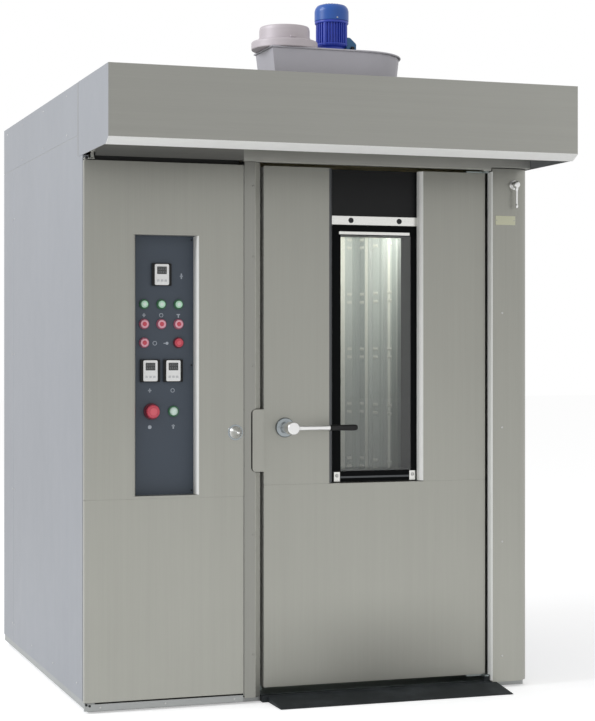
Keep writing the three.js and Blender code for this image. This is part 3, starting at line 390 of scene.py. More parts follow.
class Shape:
    """A mesh being made, in body millimetres."""

    def __init__(self):
        self.mesh = bmesh.new()

    def bevel(self, edges, width, steps):
        bmesh.ops.bevel(self.mesh, geom=edges, offset=width, segments=steps, profile=0.6, affect="EDGES")

    def box(self, x, y, z, bevel=0.8, steps=2, turn=None):
        made = bmesh.ops.create_cube(self.mesh, size=1.0)["verts"]
        size = Vector((x[1] - x[0], y[1] - y[0], z[1] - z[0]))
        middle = Vector((x[0] + x[1], y[0] + y[1], z[0] + z[1])) / 2
        for vert in made:
            vert.co = vert.co * size + middle
            if turn is not None:
                vert.co = turn @ vert.co
        edges = list({edge for vert in made for edge in vert.link_edges})
        self.bevel(edges, min(bevel, min(size) * 0.45), steps)
        return self

    def boxes(self, places, bevel, steps=1):
        """Boxes at places of (x, y, z) ranges."""
        for place in places:
            self.box(*place, bevel, steps)
        return self

    def join(self, rings, loop=False):
        """Faces from each ring of points to the next. A ring may be a single point."""
        for low, high in zip(rings, rings[1:] + rings[:loop]):
            count = max(len(low), len(high))
            for i in range(count):
                j = (i + 1) % count
                corners = [low[i % len(low)], low[j % len(low)], high[j % len(high)], high[i % len(high)]]
                corners = list(dict.fromkeys(corners))
                if len(corners) > 2:
                    self.mesh.faces.new(corners)

    def turned(self, direction, centre, profile, sides=32, loop=False):
        """profile is (radius, height); height runs towards direction."""
        place = facing(direction, centre)
        rings = [
            [self.mesh.verts.new(place @ Vector((x, y, height)))
             for x, y in circle((0, 0), radius, sides if radius > 1e-6 else 1)]
            for radius, height in profile]
        self.join(rings, loop)
        for ring in (rings[0], rings[-1]):
            if len(ring) > 1 and not loop:
                self.mesh.faces.new(ring)
        return self

    def slab(self, direction, centre, outline, thickness, bevel=0.6, steps=2):
        """A flat outline (in the face's own two axes) with a rounded rim, thickness towards direction."""
        place = facing(direction, centre)
        low, high = (
            [self.mesh.verts.new(place @ Vector((p[0], p[1], height))) for p in outline]
            for height in (0, thickness))
        self.mesh.faces.new(low[::-1])
        self.mesh.faces.new(high)
        self.join([low, high])
        if bevel:
            rims = [self.mesh.edges.get([ring[i], ring[(i + 1) % len(ring)]])
                    for i in range(len(low)) for ring in (high, low)]
            self.bevel(rims, min(bevel, thickness * 0.45), steps)
        return self

    def plate(self, direction, centre, x, y, corner, steps, thickness, bevel, rim_steps=2):
        """A slab with rounded corners."""
        outline = [(x[0], y[0]), (x[1], y[0]), (x[1], y[1]), (x[0], y[1])]
        return self.slab(direction, centre, soft(outline, corner, steps, True), thickness, bevel, rim_steps)

    def tube(self, points, radius, sides=10, loop=False):
        """A bent rod or wire along points."""
        path = [Vector(p) for p in points]
        count = len(path)
        rings = []
        across = None
        for i, point in enumerate(path):
            before = path[i - 1] if i or loop else point
            after = path[(i + 1) % count] if i < count - 1 or loop else point
            ahead = (after - before).normalized()
            if across is None:
                across = ahead.orthogonal().normalized()
            across = (across - ahead * across.dot(ahead)).normalized()
            third = ahead.cross(across)
            rings.append([
                self.mesh.verts.new(point + across * u + third * v) for u, v in circle((0, 0), radius, sides)])
        self.join(rings, loop)
        if not loop:
            self.mesh.faces.new(rings[0][::-1])
            self.mesh.faces.new(rings[-1])
        return self

    def sweep(self, outline, path):
        """An outline (out, back) carried round a closed path of (point, way out) stations."""
        self.join([
            [self.mesh.verts.new(point + out * u + Vector((0, v, 0))) for u, v in outline] for point, out in path
        ], True)
        return self

    def done(self, name, material, body="oven_body", node=None, sharp=40.0):
        bmesh.ops.recalc_face_normals(self.mesh, faces=self.mesh.faces)
        for vert in self.mesh.verts:
            vert.co = P(*vert.co)
        return finish_piece(name, self.mesh, material, body, node, sharp)


def finish_piece(name, mesh, material, body="oven_body", node=None, sharp=40.0):
    """Makes a piece of a mesh. It stands for a CAD node and rides on that node's body, or rides on body."""
    data = bpy.data.meshes.new(name)
    mesh.to_mesh(data)
    mesh.free()
    data.shade_smooth()
    data.set_sharp_from_angle(angle=math.radians(sharp))
    data.materials.clear()
    data.materials.append(M[material])
    piece = bpy.data.objects.new(name, data)
    scene.collection.objects.link(piece)
    piece.modifiers.new("even_normals", "WEIGHTED_NORMAL").keep_sharp = True
    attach(piece, body_of(node) if node else body)
    if node:
        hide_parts(node)
    return piece


def rounded(node, material, width, sides=None):
    """A node's own sheet metal with its edges rounded. sides is another material for faces towards X."""
    mesh = bmesh.new()
    mesh.from_mesh(nodes[node].data)
    bmesh.ops.remove_doubles(mesh, verts=mesh.verts, dist=1e-5)
    bmesh.ops.dissolve_limit(mesh, angle_limit=math.radians(0.5), verts=mesh.verts, edges=mesh.edges)
    bmesh.ops.recalc_face_normals(mesh, faces=mesh.faces)
    limit = math.radians(28)
    edges = [
        edge for edge in mesh.edges
        if len(edge.link_faces) == 2 and edge.calc_face_angle(0) > limit and edge.calc_length() > width * MM * 1.5
    ]
    bmesh.ops.bevel(
        mesh, geom=edges, offset=width * MM, segments=2, profile=0.5, affect="EDGES", clamp_overlap=True)
    data = finish_piece(node + "_skin", mesh, material, node=node).data
    if sides:
        data.materials.append(M[sides])
        for face in data.polygons:
            face.material_index = int(abs(face.normal.x) > 0.7)


def skins(material, width, *names):
    for node in names:
        rounded(node, material, width)


# Profiles of a socket screw's head and a rivet's, as parts of the radius and the height.
SCREW = ((0, 0), (1, 0), (1, 0.45), (0.72, 1), (0.36, 1), (0.36, 0.35), (0, 0.25))
RIVET = ((0, 0), (1, 0), (0.93, 0.45), (0.6, 0.85), (0, 1))


def heads(name, places, direction, radius=4.0, height=1.6, material="screw", body="oven_body", kind=SCREW):
    """Screw or rivet heads."""
    profile = [(radius * out, height * up) for out, up in kind]
    if kind is SCREW:
        profile = soft(profile, 0.5, 2)
    shape = Shape()
    for place in places:
        shape.turned(direction, place, profile, sides=12)
    shape.done(name, material, body)


def corner_bead(name, corner, side, radius, depth, z, material, body="oven_body"):
    """A rounded bead up one side of a recess. side is 1 at its right side and -1 at its left."""
    arc = [(2 - x, radius - 0.7 - y) for x, y in circle((0, 0), radius, 11, 0, 90)]
    outline = arc + [(2, -0.05), (-0.1, -0.05), (-0.1, depth), (2 - radius, depth)]
    outline = [(corner[0] + side * x, corner[1] + y) for x, y in outline][::side]
    Shape().slab("up", (0, 0, z[0]), outline, z[1] - z[0], 0.0).done(name, material, body, sharp=50)


# ---------- casing ----------
skins("front", 0.8, "right_post", "latch_keeper")
skins("column", 0.8, "center_column")
skins("header", 0.8, "header_panel")
skins("side", 1.0, "left_side_panel", "left_rear_panel", "left_top_panel", "right_side_panel", "rear_panel")
skins("roof", 1.0, "roof_panel")
rounded("hood", "hood", 0.8, sides="side")
skins("zinc", 0.7, "floor_slab", "base_rail")
skins("ramp", 1.2, "threshold", "entry_ramp")

hood_low, hood_high = mm("hood")
LIP_FRONT, LIP_BOTTOM = hood_low.y, hood_low.z
# The slanted lip in near-white paint: painted reflection of the floor.
Shape().slab("right", (hood_low.x + 0.4, 0, 0), [(LIP_FRONT + y, LIP_BOTTOM + z) for y, z in (
    (-1.4, 21.5), (-1.4, 19.2), (39.0, -1.3), (46, -1.3), (46, 0.2), (39.6, 0.2), (0.2, 20.2), (0.2, 21.5),
)], hood_high.x - hood_low.x - 0.8, 0.3).done("hood_lip", "lip")

HEADER_FRONT = mm("header_panel")[0].y
# A dark sheet behind the gap over the cabinet door: painted shade.
Shape().box((32, 594), (46, 48), (1960, 2030), 0.6).done("cabinet_top_baffle", "painted_gap_shade")
# The strip over the cabinet door, in painted shadow of the hood.
Shape().box((42, 597), (HEADER_FRONT - 0.4, HEADER_FRONT + 2.6), (1993, 2062), 0.6).done(
    "cabinet_header_strip", "header_painted_shadow")
Shape().box((-0.5, 0.2), (99.4, 104.4), (hood_low.z + 3, hood_high.z - 3), 0.2, 1).done("hood_lap_seam", "column")
band_low, band_high = mm("left_top_panel")
Shape().box((0.9, 2.4), (band_low.y + 2, band_high.y - 2), (band_low.z - 4, band_low.z + 0.1), 0.2, 1).done(
    "side_band_seam", "zinc")

post_low, post_high = mm("right_post")
# Bead in painted highlight up the post's left edge.
corner_bead("post_edge_bead", (post_low.x, 0), 1, 6, 34, (27, post_high.z - 13), "edge_painted_highlight")
column_low, column_high = mm("center_column")
keeper_low, keeper_high = mm("latch_keeper")
# Bevel strips in the lighter header steel: painted light on the column's bevel.
bevel = Shape()
for low, high in ((column_low.z + 2, keeper_low.z - 5), (keeper_high.z + 5, column_high.z - 2)):
    bevel.slab("up", (column_high.x, 0, low), [
        (-27.0, 0.0), (-26.4, -0.6), (0.6, 26.4), (0.0, 27.0)], high - low, 0.2)
bevel.done("column_bevel_strip", "header")
# Light strip in the gap beside the column: painted light in the gap.
Shape().box((column_low.x - 2.6, column_low.x + 0.1), (2.6, 5), (30, 1974), 0.3, 1).done(
    "cabinet_gap_strip", "edge")
cabinet_low, cabinet_high = mm("cabinet_door_upper")
Shape().box((cabinet_low.x + 4, cabinet_high.x - 4), (0.5, 2.4), (760.7, 762.3), 0.1, 1).done(
    "cabinet_seam_filler", "front", CABINET)
leaf_low, leaf_high = mm("door_sheet_lower")
Shape().boxes([(x, (30.5, 32.4), (797.7, 799.3)) for x in (
    (leaf_low.x + 4, 937), (1322, leaf_high.x - 4))], 0.1).done("door_seam_filler", "front", LEAF)
# Light strips on the leaf's left side face: painted light in the gap.
Shape().boxes([((leaf_low.x - 0.7, leaf_low.x + 0.3), (33, 68), z) for z in (
    (leaf_low.z + 3, 988), (1032, 1976))], 0.2).done("door_edge_strip", "edge", LEAF)

Shape().plate("front", (1651, -0.1, 1796.5), (-43, 40), (-17.5, 17.5), 2, 2, 1.3, 0.3).done(
    "post_plate", "cream")
heads("post_plate_rivets", grid((1613, 1686), -1.3, 1796.5), "front", 2.2, 1.1, kind=RIVET)
heads("column_screws", grid(632, 0, (180, 620, 1240, 1640, 1900)), "front", 4.2, 1.6, "column")
heads("post_screws", grid(1636, 0, (120, 560, 1000, 1440)), "front", 4.2)
heads("pivot_caps", [(9, 2.4, 31), (21, 2.2, 27)], "front", 4.5, 3, "dark_screw")
heads("cabinet_pivot_cap", [(9, 1.2, 1984)], "front", 5.5, 6, "dark_screw")
heads("base_screws", grid((60, 300, 560), 2.8, 20), "front", 3.6, 1.4)
heads("side_screws", grid(0, (1405, 1451), (120, 700, 1280, 1860)) + grid(0, (120, 560, 1000), 92)
      + grid(0, (300, 760, 1220), 2095) + grid(0, (300, 760, 1220, 1580), 2240), "left")
heads("right_side_screws", grid(1760, (130, 600, 1080, 1560), (90, 760, 1500, 2240)), "right")

REAR = mm("rear_panel")[1].y
ROOF = mm("roof_panel")[1].z
SCREW_X = (60, 470, 880, 1290, 1700)
ENDS_X = (60, 1700)
heads("rear_screws", grid(SCREW_X, REAR, (90, 2235)) + grid(ENDS_X, REAR, (520, 950, 1380, 1810)), "back")
heads("roof_screws", grid(SCREW_X, (140, 1600), ROOF) + grid(ENDS_X, (500, 870, 1240), ROOF), "up")
heads("hood_top_screws", grid((60, 420, 1200, 1560, 1700), (-355, 75), ROOF), "up")
Shape().plate("back", (300, REAR - 0.2, 1900), (-90, 90), (-60, 60), 6, 3, 2.2, 0.5).done(
    "rear_cover_plate", "zinc")
heads("rear_cover_screws", grid((222, 378), REAR + 2, (1852, 1948)), "back", 3.6, 1.5)

# ---------- oven door ----------
skins("front", 1.0, "door_sheet_left", "door_sheet_right")
skins("door_foot", 1.0, "door_sheet_lower")
skins("black", 0.6, "window_surround")
skins("pane", 1.0, "outer_glass", "inner_glass")
skins("liner", 0.6, "door_back_plate")
skins("liner", 1.0, "door_inner_pan")
skins("bright", 1.0, "latch_bolt")

window_low, window_high = mm("window_surround")
GLASS_FRONT = mm("outer_glass")[0].y
CLIP_FRONT = GLASS_FRONT - 4.2
HOLE_LEFT, HOLE_RIGHT = 998, 1288
HOLE_FOOT, HOLE_HEAD = 841, 1731
BORDER_FOOT, BORDER_HEAD = 803.5, 1768
BEAD_Z = (800.5, 1977.5)

Shape().box((window_low.x + 0.1, window_high.x - 0.1), (window_low.y - 1.2, 71.2), (1770.4, 1803.6), 1.2).done(
    "glazing_bar", "bright", LEAF)
heads("glazing_bar_screws", grid((1038, 1234), window_low.y - 1.2, 1787), "front", 10.5, 3.0, "dark_screw",
      LEAF)
# Right window bead in painted highlight.
corner_bead("window_bead_right", (window_high.x, 30), 1, 14, 31, BEAD_Z, "edge_painted_highlight", LEAF)
# Left window bead in dark steel: painted dark reflection of the black window channel.
corner_bead("window_bead_left", (window_low.x, 30), -1, 15, 31, BEAD_Z, "dark", LEAF)
Shape().box((HOLE_LEFT - 8, HOLE_RIGHT - 11), (GLASS_FRONT - 2.6, GLASS_FRONT + 0.1), (1734, 1745), 0.7).done(
    "glass_top_bead", "bright", LEAF)
Shape().box((994, 1275), (GLASS_FRONT - 1.4, GLASS_FRONT + 0.1), (814, 821), 0.6).done(
    "glass_bottom_bead", "dark", LEAF)

clips = Shape()
for x in ((969, 993), (1275, 1300)):
    clips.box(x, (CLIP_FRONT, GLASS_FRONT - 1.4), (806, 838), 1.2)
    clips.box(x, (CLIP_FRONT, 71), (801.5, 806.5), 1.0)
clips.done("glass_clips", "bright", LEAF)
heads("glass_clip_screws", grid((981, 1288), CLIP_FRONT, 824), "front", 6.5, 3.4, "screw", LEAF)

Shape().boxes([(x, (GLASS_FRONT - 0.5, GLASS_FRONT + 0.1), z) for x, z in (
    ((window_low.x + 3, HOLE_LEFT - 1), (BORDER_FOOT, BORDER_HEAD)),
    ((HOLE_RIGHT - 5, window_high.x - 3), (BORDER_FOOT, BORDER_HEAD)),
    ((HOLE_LEFT - 1, HOLE_RIGHT - 5), (BORDER_FOOT, HOLE_FOOT - 1)),
    ((HOLE_LEFT - 1, HOLE_RIGHT - 5), (HOLE_HEAD + 1, BORDER_HEAD)),
)], 0.1).done("glass_printed_border", "ink", LEAF)
Shape().boxes([(x, (71.3, 164.8), z) for x, z in (
    ((HOLE_LEFT + 0.2, HOLE_LEFT + 1.2), (HOLE_FOOT + 0.2, HOLE_HEAD - 0.2)),
    ((HOLE_RIGHT - 6, HOLE_RIGHT - 0.2), (HOLE_FOOT + 0.2, HOLE_HEAD - 0.2)),
    ((HOLE_LEFT + 1.2, HOLE_RIGHT - 1.2), (HOLE_FOOT + 0.2, HOLE_FOOT + 1.2)),
    ((HOLE_LEFT + 1.2, HOLE_RIGHT - 1.2), (HOLE_HEAD - 1.2, HOLE_HEAD - 0.2)),
)], 0.3).done("window_tunnel_lining", "dark", LEAF)

seal_low, seal_high = mm("door_seal")
SEAL_CORNER = 12
left, right = seal_low.x + SEAL_CORNER, seal_high.x - SEAL_CORNER
foot, head = seal_low.z + SEAL_CORNER, seal_high.z - SEAL_CORNER
stations = []
for x, z, start in ((left, foot, 180), (right, foot, 270), (right, head, 0), (left, head, 90)):
    for step in range(7):
        across, up = polar(1, start + 15 * step)
        out = Vector((across, 0, up))
        stations.append((Vector((x, seal_low.y, z)) + out * SEAL_CORNER, out))
bulb = [(-11, 0), (-1, 0), (-1, 1.6), (-3, 2)] + [
    (-6 + 4.2 * math.cos(math.radians(a)), 2.6 + 2.6 * math.sin(math.radians(a))) for a in range(10, 171, 20)
] + [(-9, 2), (-11, 1.6)]
Shape().sweep(bulb, stations).done("door_seal_bulb", "rubber", node="door_seal", sharp=50)
PAN_BACK = mm("door_inner_pan")[1].y
heads("inner_pan_screws", grid((760, 910, 1350, 1500), PAN_BACK, (110, 1900))
      + grid((760, 1500), PAN_BACK, (480, 850, 1220, 1590)), "back", 4.2, 1.6, "screw", LEAF)

# ---------- handle and latch ----------
rosette_low, rosette_high = mm("handle_rosette")
HANDLE_X = (rosette_low.x + rosette_high.x) / 2
HANDLE_Z = (rosette_low.z + rosette_high.z) / 2
ROD_Y = -55

Shape().turned("front", (HANDLE_X, 29.7, HANDLE_Z), soft([
    (10.8, 0), (37, 0), (37, 4.5), (33.5, 8.5), (25, 9.6), (23.5, 11), (10.8, 11),
], 1.6, 4, True), 56, True).done("rosette", "chrome", node="handle_rosette")

lever = Shape()
lever.turned("front", (HANDLE_X, 18, HANDLE_Z), soft([
    (0, 0), (17, 0), (16.5, 9), (15, 14), (15, 44), (17, 47), (23.5, 50), (24, 54), (24, 90), (21.5, 95),
    (0, 96.5),
], 3, 4), 48)
lever.turned("back", (HANDLE_X, 16, HANDLE_Z), [(0, 0), (10, 0), (10, 42.5), (9, 43.5), (0, 43.5)], 24)
lever.turned("right", (HANDLE_X, ROD_Y, HANDLE_Z), soft([
    (0, 0), (12.5, 18), (12.5, 27), (9.6, 31), (8.6, 60), (8.4, 128), (9.4, 134), (9.4, 147.6), (0, 147.6),
], 2, 3), 32)
lever.turned("right", (HANDLE_X + 147, ROD_Y, HANDLE_Z), [(0, 0), (6.4, 0), (6.4, 59), (0, 60)], 20)
lever.done("lever", "satin", node="handle_lever", sharp=50)
Shape().turned("right", (mm("handle_grip")[0].x, ROD_Y, HANDLE_Z), soft([
    (6.7, 0), (10.5, 0), (11.2, 10), (10.2, 40), (11.2, 78), (11.4, 98), (9.5, 106), (0, 108), (0, 62), (6.7, 62),
], 2.2, 4, True), 36, True).done("grip", "grip", node="handle_grip", sharp=55)

LOCK = (563.5, 0, 996)
Shape().turned("front", LOCK, soft([
    (0, -30), (8, -30), (8, 0.9), (23, 0.9), (23.6, 5), (20.5, 9), (16, 17), (10.5, 30), (5.5, 41), (3.4, 43.6),
    (0, 44),
], 1.4, 3), 40).box((555.5, 592), (26, 29.5), (988, 1004), 1.0).done(
    "lock_knob", "satin", node="cabinet_lock", sharp=50)
Shape().turned("front", LOCK, soft([
    (9, 0), (29, 0), (28.6, 0.5), (26, 0.7), (9, 0.7)], 0.2, 2, True), 40, True).done(
    "lock_escutcheon", "chrome", CABINET)

LEVER_X, LEVER_Z = 1686, 1934
damper = Shape()
damper.turned("front", (LEVER_X, -0.3, LEVER_Z), soft([
    (0, 0), (11.5, 0), (11.5, 5), (9, 7), (13.2, 12), (13.2, 27), (10, 33), (0, 34),
], 1.6, 3), 36)
damper.turned("back", (LEVER_X, -1, LEVER_Z), [(0, 0), (6, 0), (6, 60), (5, 61), (0, 61)], 20)
damper.turned("down", (LEVER_X, -24, LEVER_Z), soft([
    (0, 0), (6.4, 8), (6.4, 18), (4.2, 24), (4.0, 76), (5.6, 80), (6.0, 86), (3.5, 90), (0, 91),
], 1.5, 3), 24)
damper.box((LEVER_X - 6, LEVER_X + 6), (50, 56), (LEVER_Z - 42, LEVER_Z), 1.0)
damper.done("damper_lever_rod", "satin", node="damper_lever", sharp=50)
Shape().turned("front", (LEVER_X, 0.1, LEVER_Z), soft([
    (7, 0), (19, 0), (18, 2), (12, 2.6), (7, 2.6)], 0.6, 2, True), 40, True).done("lever_escutcheon", "satin")

# ---------- control cabinet door ----------
skins("front", 1.0, "cabinet_door_upper", "cabinet_door_lower")
skins("slate", 0.5, "control_panel")

PANEL_LEFT, PANEL_RIGHT = 181, 423
PANEL_Y = 55
RECESS_Z = (771.4, 1712.6)
CONTROL_X = 297.5
BUTTON_STEP = 64.5

# Right recess bead in painted highlight.
corner_bead("recess_bead_right", (PANEL_RIGHT, 0), 1, 8, 20, RECESS_Z, "edge_painted_highlight", CABINET)
# Reveal lining in pale paint: painted light.
Shape().box((PANEL_RIGHT - 4.2, PANEL_RIGHT + 0.1), (7, PANEL_Y - 0.6), RECESS_Z, 0.3, 1).done(
    "recess_lining", "reveal_painted_light", CABINET)
corner_bead("recess_bead_left", (PANEL_LEFT, 0), -1, 11, 50, RECESS_Z, "front", CABINET)


def controller(name, x, z):
    """A panel instrument: black housing rim, pale bezel, dark display above keys."""
    for part, material, out, up, size, corner, steps, thickness, bevel in (
        ("_rim", "black", 5.5, 0, ((-37, 37), (-41, 41)), 3, 3, 4.0, 1.2),
        ("_bezel", "white", 9.3, 0, ((-26.5, 26.5), (-38, 38)), 5, 4, 2.6, 1.0),
        ("_screen", "display", 11.7, 15, ((-18, 18), (-13.5, 14)), 2, 3, 0.9, 0.3),
    ):
        Shape().plate("front", (x, PANEL_Y - out, z + up), *size, corner, steps, thickness, bevel).done(
            name + part, material, CABINET)
    digits = Shape()
    for low, height in ((z + 17.5, 7.5), (z + 6.5, 5.5)):
        for left in (x - 14.5 + i * 8 for i in range(4)):
            for start, foot, head in ((0, height - 1, height), (0, 0, 1), (4, 0, height)):
                digits.box((left + start, left + 5), (PANEL_Y - 12.9, PANEL_Y - 12.4), (low + foot, low + head),
                           0.15, 1)
    digits.done(name + "_digits", "grey", CABINET)
    keys = Shape()
    for centre in grid((x - 14, x, x + 14), PANEL_Y - 11.7, z - 22):
        keys.plate("front", centre, (-4.6, 4.6), (-4, 4), 1.5, 2, 1.5, 0.5)
    keys.done(name + "_keys", "key", CABINET)


controller("timer", CONTROL_X, 1572)
controller("thermostat_1", CONTROL_X - 43, 1222)
controller("thermostat_2", CONTROL_X + 43, 1222)

STEM = [(0, -16), (6, -16), (6, -7), (9.5, -7), (9.5, -4), (6, -4)]


def ring(name, x, z, inner, outer, height, material):
    Shape().turned("front", (x, PANEL_Y - 0.1, z), soft([
        (inner, 0), (outer, 0), (outer, height * 0.6), (outer - 1.0, height), (inner, height),
    ], 0.6, 2, True), 40, True).done(name, material, CABINET)


def push_button(node, x, z, radius, cap, centre, rim, collar=3.8):
    ring(node + "_ring", x, z, radius + 0.75, radius + collar, 6.5, rim)
    Shape().turned("front", (x, PANEL_Y, z), STEM + soft([
        (6, 6), (radius, 6), (radius, 11.6), (radius - 1.8, 13.2), (radius * 0.62, 13.2), (radius * 0.56, 12),
        (0, 12),
    ], 0.8, 3), 36).done(node + "_cap", cap, node=node)
    Shape().turned("front", (x, PANEL_Y - 11.9, z), soft([
        (0, 0), (radius * 0.54, 0), (radius * 0.52, 1.2), (radius * 0.3, 2.0), (0, 2.2)], 0.5, 3), 32).done(
        node + "_centre", centre, body_of(node))


# The start buttons' pale centres are a painted highlight.
for i, dx in enumerate((-BUTTON_STEP, 0, BUTTON_STEP), 1):
    push_button(f"start_button_{i}", CONTROL_X + dx, 1464, 13, "green", "green_painted_highlight", "green_ring", 5.2)
    push_button(f"stop_button_{i}", CONTROL_X + dx, 1392, 15, "rose", "red", "rose_rim")
push_button("steam_button", CONTROL_X - BUTTON_STEP, 1324, 15, "rose", "red", "rose_rim")
push_button("reset_button", CONTROL_X + BUTTON_STEP, 1324, 16, "red", "red_pale", "red_dark")

STOP_X, STOP_Z = CONTROL_X - 36.5, 1074
# Dark red collar round the mushroom's foot: painted shadow.
ring("stop_collar", STOP_X, STOP_Z, 14.6, 30, 7, "red_dark")
Shape().turned("front", (STOP_X, PANEL_Y, STOP_Z), STEM + soft([
    (6, 8), (13, 8), (13, 15.5), (22, 17.5), (25, 20), (25, 25.5), (22, 30), (12, 33.2), (0, 34),
], 1.6, 4), 48).done("stop_mushroom", "red", node="emergency_stop", sharp=60)
# Pale red disc on the mushroom's crown: painted highlight.
Shape().turned("front", (STOP_X, PANEL_Y - 33.2, STOP_Z), soft([
    (0, -1), (14, -1), (13, 0.6), (0, 1.4)], 0.8, 3), 36).done("stop_mushroom_top", "red_pale", "emergency")

LAMP_X = CONTROL_X + 45.5
ring("power_lamp_ring", LAMP_X, STOP_Z, 15.3, 20, 7, "green_ring")
Shape().turned("front", (LAMP_X, PANEL_Y - 0.5, STOP_Z), soft([
    (0, 0), (15.2, 0), (15.2, 9), (12.5, 13.5), (7, 16.4), (0, 17.2)], 2.0, 4), 40).done(
    "power_lamp_lens", "mint", CABINET, sharp=60)

# Plain signs beside the controls: each stroke's kind, its place and its radius or its width and height.
for name, strokes in {
    "timer": [("bar", 76, 1567, 5, 20), ("bar", 76, 1567, 12, 4)],
    "start_1": [("bar", -64.5, 1424, 4, 14), ("bar", -64.5, 1424, 12, 4)],
    "start_2": [("ring", 0, 1424, 7.5)],
    "start_3": [("bar", 64.5, 1427, 13, 4), ("bar", 64.5, 1421, 4, 11)],
    "steam": [("ring", -24, 1322, 8)],
    "reset": [("disc", 22, 1322, 5.5), ("bar", 13, 1322, 9, 3)],
    "thermostat_1": [("bar", -43, 1150, 4, 15), ("bar", -43, 1150, 13, 4)],
    "thermostat_2": [("ring", 43, 1150, 7.5)],
    "stop": [("disc", -43, 1017, 7)],
    "lamp": [("bar", 45.5, 1018, 5, 16), ("bar", 45.5, 1021, 12, 4)],
}.items():
    sign = Shape()
    for kind, dx, z, *size in strokes:
        centre = (CONTROL_X + dx, PANEL_Y + 0.1, z)
        if kind == "disc":
            sign.slab("front", centre, circle((0, 0), size[0]), 0.45, 0.1, 1)
        elif kind == "ring":
            sign.turned("front", centre, [
                (size[0], 0), (size[0], 0.45), (size[0] - 2, 0.45), (size[0] - 2, 0)], 32, True)
        else:
            w, h = size
            sign.plate("front", centre, (-w / 2, w / 2), (-h / 2, h / 2), 1, 2, 0.45, 0.1, 1)
    sign.done("mark_" + name, "mark", CABINET)
heads("panel_screws", grid((192, 412), PANEL_Y + 0.1, (784, 1242, 1700)), "front", 3.4, 1.5, "dark_screw",
      CABINET)

# ---------- fan gear on the hood ----------
skins("fan", 0.8, "fan_housing", "fan_housing_lid")
skins("zinc", 0.8, "hood_fan_impeller")
LID = mm("fan_housing_lid")[1].z
FAN_X, FAN_Y = 902, -98
ROUND_END = (FAN_X + 57, FAN_Y)
OUTLET_X, OUTLET_Y = 688, -193

Shape().tube([(x, y, LID - 2.6) for x, y in (
    (608, -295), *circle(ROUND_END, 197, 40, -90, 178.5), (608, -91))], 3.6, 10, True).done(
    "housing_rolled_rim", "fan", sharp=70)
heads("lid_rivets", [(x, y, LID) for x, y in (
    *circle(ROUND_END, 173, 9, -80, 150), (640, -280), (760, -280), (640, -106))],
    "up", 3.2, 1.6, "fan", kind=RIVET)
Shape().plate("up", (FAN_X, FAN_Y, LID + 0.1), (-72, 72), (-72, 72), 12, 4, 3.2, 0.8).done(
    "motor_foot_plate", "fan")
heads("motor_foot_bolts", grid((FAN_X - 60, FAN_X + 60), (FAN_Y - 60, FAN_Y + 60), LID + 3.2), "up", 5.5, 4.5)

Shape().turned("up", (OUTLET_X, OUTLET_Y, LID + 0.3), soft([
    (84, 0), (117, 0), (119, 3), (119, 25), (116, 29.5), (92, 30.5), (90.5, 34), (90.5, 70), (88.5, 79), (86, 82),
    (84, 82),
], 2.2, 3, True), 72, True).done("collar", "collar", node="exhaust_collar", sharp=50)
Shape().turned("up", (OUTLET_X, OUTLET_Y, LID + 33), soft([
    (90.2, 0), (93, 0.5), (93, 9), (90.2, 9.5)], 0.8, 2, True), 72, True).box(
    (OUTLET_X - 10, OUTLET_X + 10), (OUTLET_Y - 101, OUTLET_Y - 91), (LID + 34, LID + 42), 1.2).done(
    "collar_clamp_band", "collar")

FINS = 36
FIN = ((-3.4, 51.5), (-1.7, 57.6), (1.7, 57.6), (3.4, 51.5))
motor = Shape()
motor.slab("up", (FAN_X, FAN_Y, LID + 40), [
    polar(radius, i * 360 / FINS + offset) for i in range(FINS) for offset, radius in FIN], 86, 0.8, 1)
motor.turned("up", (FAN_X, FAN_Y, LID + 0.5), soft([
    (12.6, 0), (52, 0), (52, 8), (46, 12), (46, 34), (55, 39), (58.5, 44), (58.5, 48), (12.6, 48)], 2, 3, True),
    56, True)
motor.turned("up", (FAN_X, FAN_Y, LID + 122), soft([
    (0, 0), (60, 0), (62, 2), (62, 9.6), (0, 9.6)], 1.2, 3), 56)
for x, y in circle((FAN_X, FAN_Y), 56, 4, 45, 405):
    motor.turned("up", (x, y, LID + 40), soft([(0, 0), (5, 0), (5, 88), (0, 90)], 1, 2), 12)
motor.done("motor_body", "motor", node="fan_motor")

Shape().turned("up", (FAN_X, FAN_Y, LID + 132.3), soft([
    (0, 56.5), (44, 56.5), (54, 51), (59.4, 40), (60, 0), (62.8, 0), (62.8, 36), (60, 47), (52, 57), (40, 60.5),
    (0, 61.3),
], 4, 4), 64).done("cowl", "cowl", node="motor_cowl", sharp=60)
SPOKES = 20
grille = Shape()
for i in range(SPOKES):
    turn = Matrix.Translation((FAN_X, FAN_Y, 0)) @ Matrix.Rotation(math.tau * i / SPOKES, 4, "Z")
    grille.box((15, 36), (-1.7, 1.7), (LID + 193, LID + 194.0), 0.4, 1, turn)
grille.turned("up", (FAN_X, FAN_Y, LID + 193), soft([(0, 0), (9, 0), (8, 1.2), (0, 1.6)], 0.5, 2), 24)
grille.done("cowl_grille_slots", "grip")
heads("cowl_screws", [(FAN_X, FAN_Y - 62.4, LID + 139)], "front", 3.0, 1.8)

Shape().slab("front", (FAN_X, FAN_Y + 26, LID), soft([
    (48, 16), (87, 16), (87, 51), (62, 74), (48, 74)], 3, 3, True), 52, 2.0, 3).done("junction_box", "junction")
heads("junction_screws", grid(FAN_X + 87, (FAN_Y - 20, FAN_Y + 20), (LID + 22, LID + 46)), "right", 2.6, 1.4)
Shape().turned("front", (FAN_X + 70, FAN_Y - 26, LID + 34), soft([
    (0, 0), (8, 0), (8, 5), (6.5, 6), (6.5, 13), (0, 13)], 1, 2), 6).done("junction_gland", "grip")

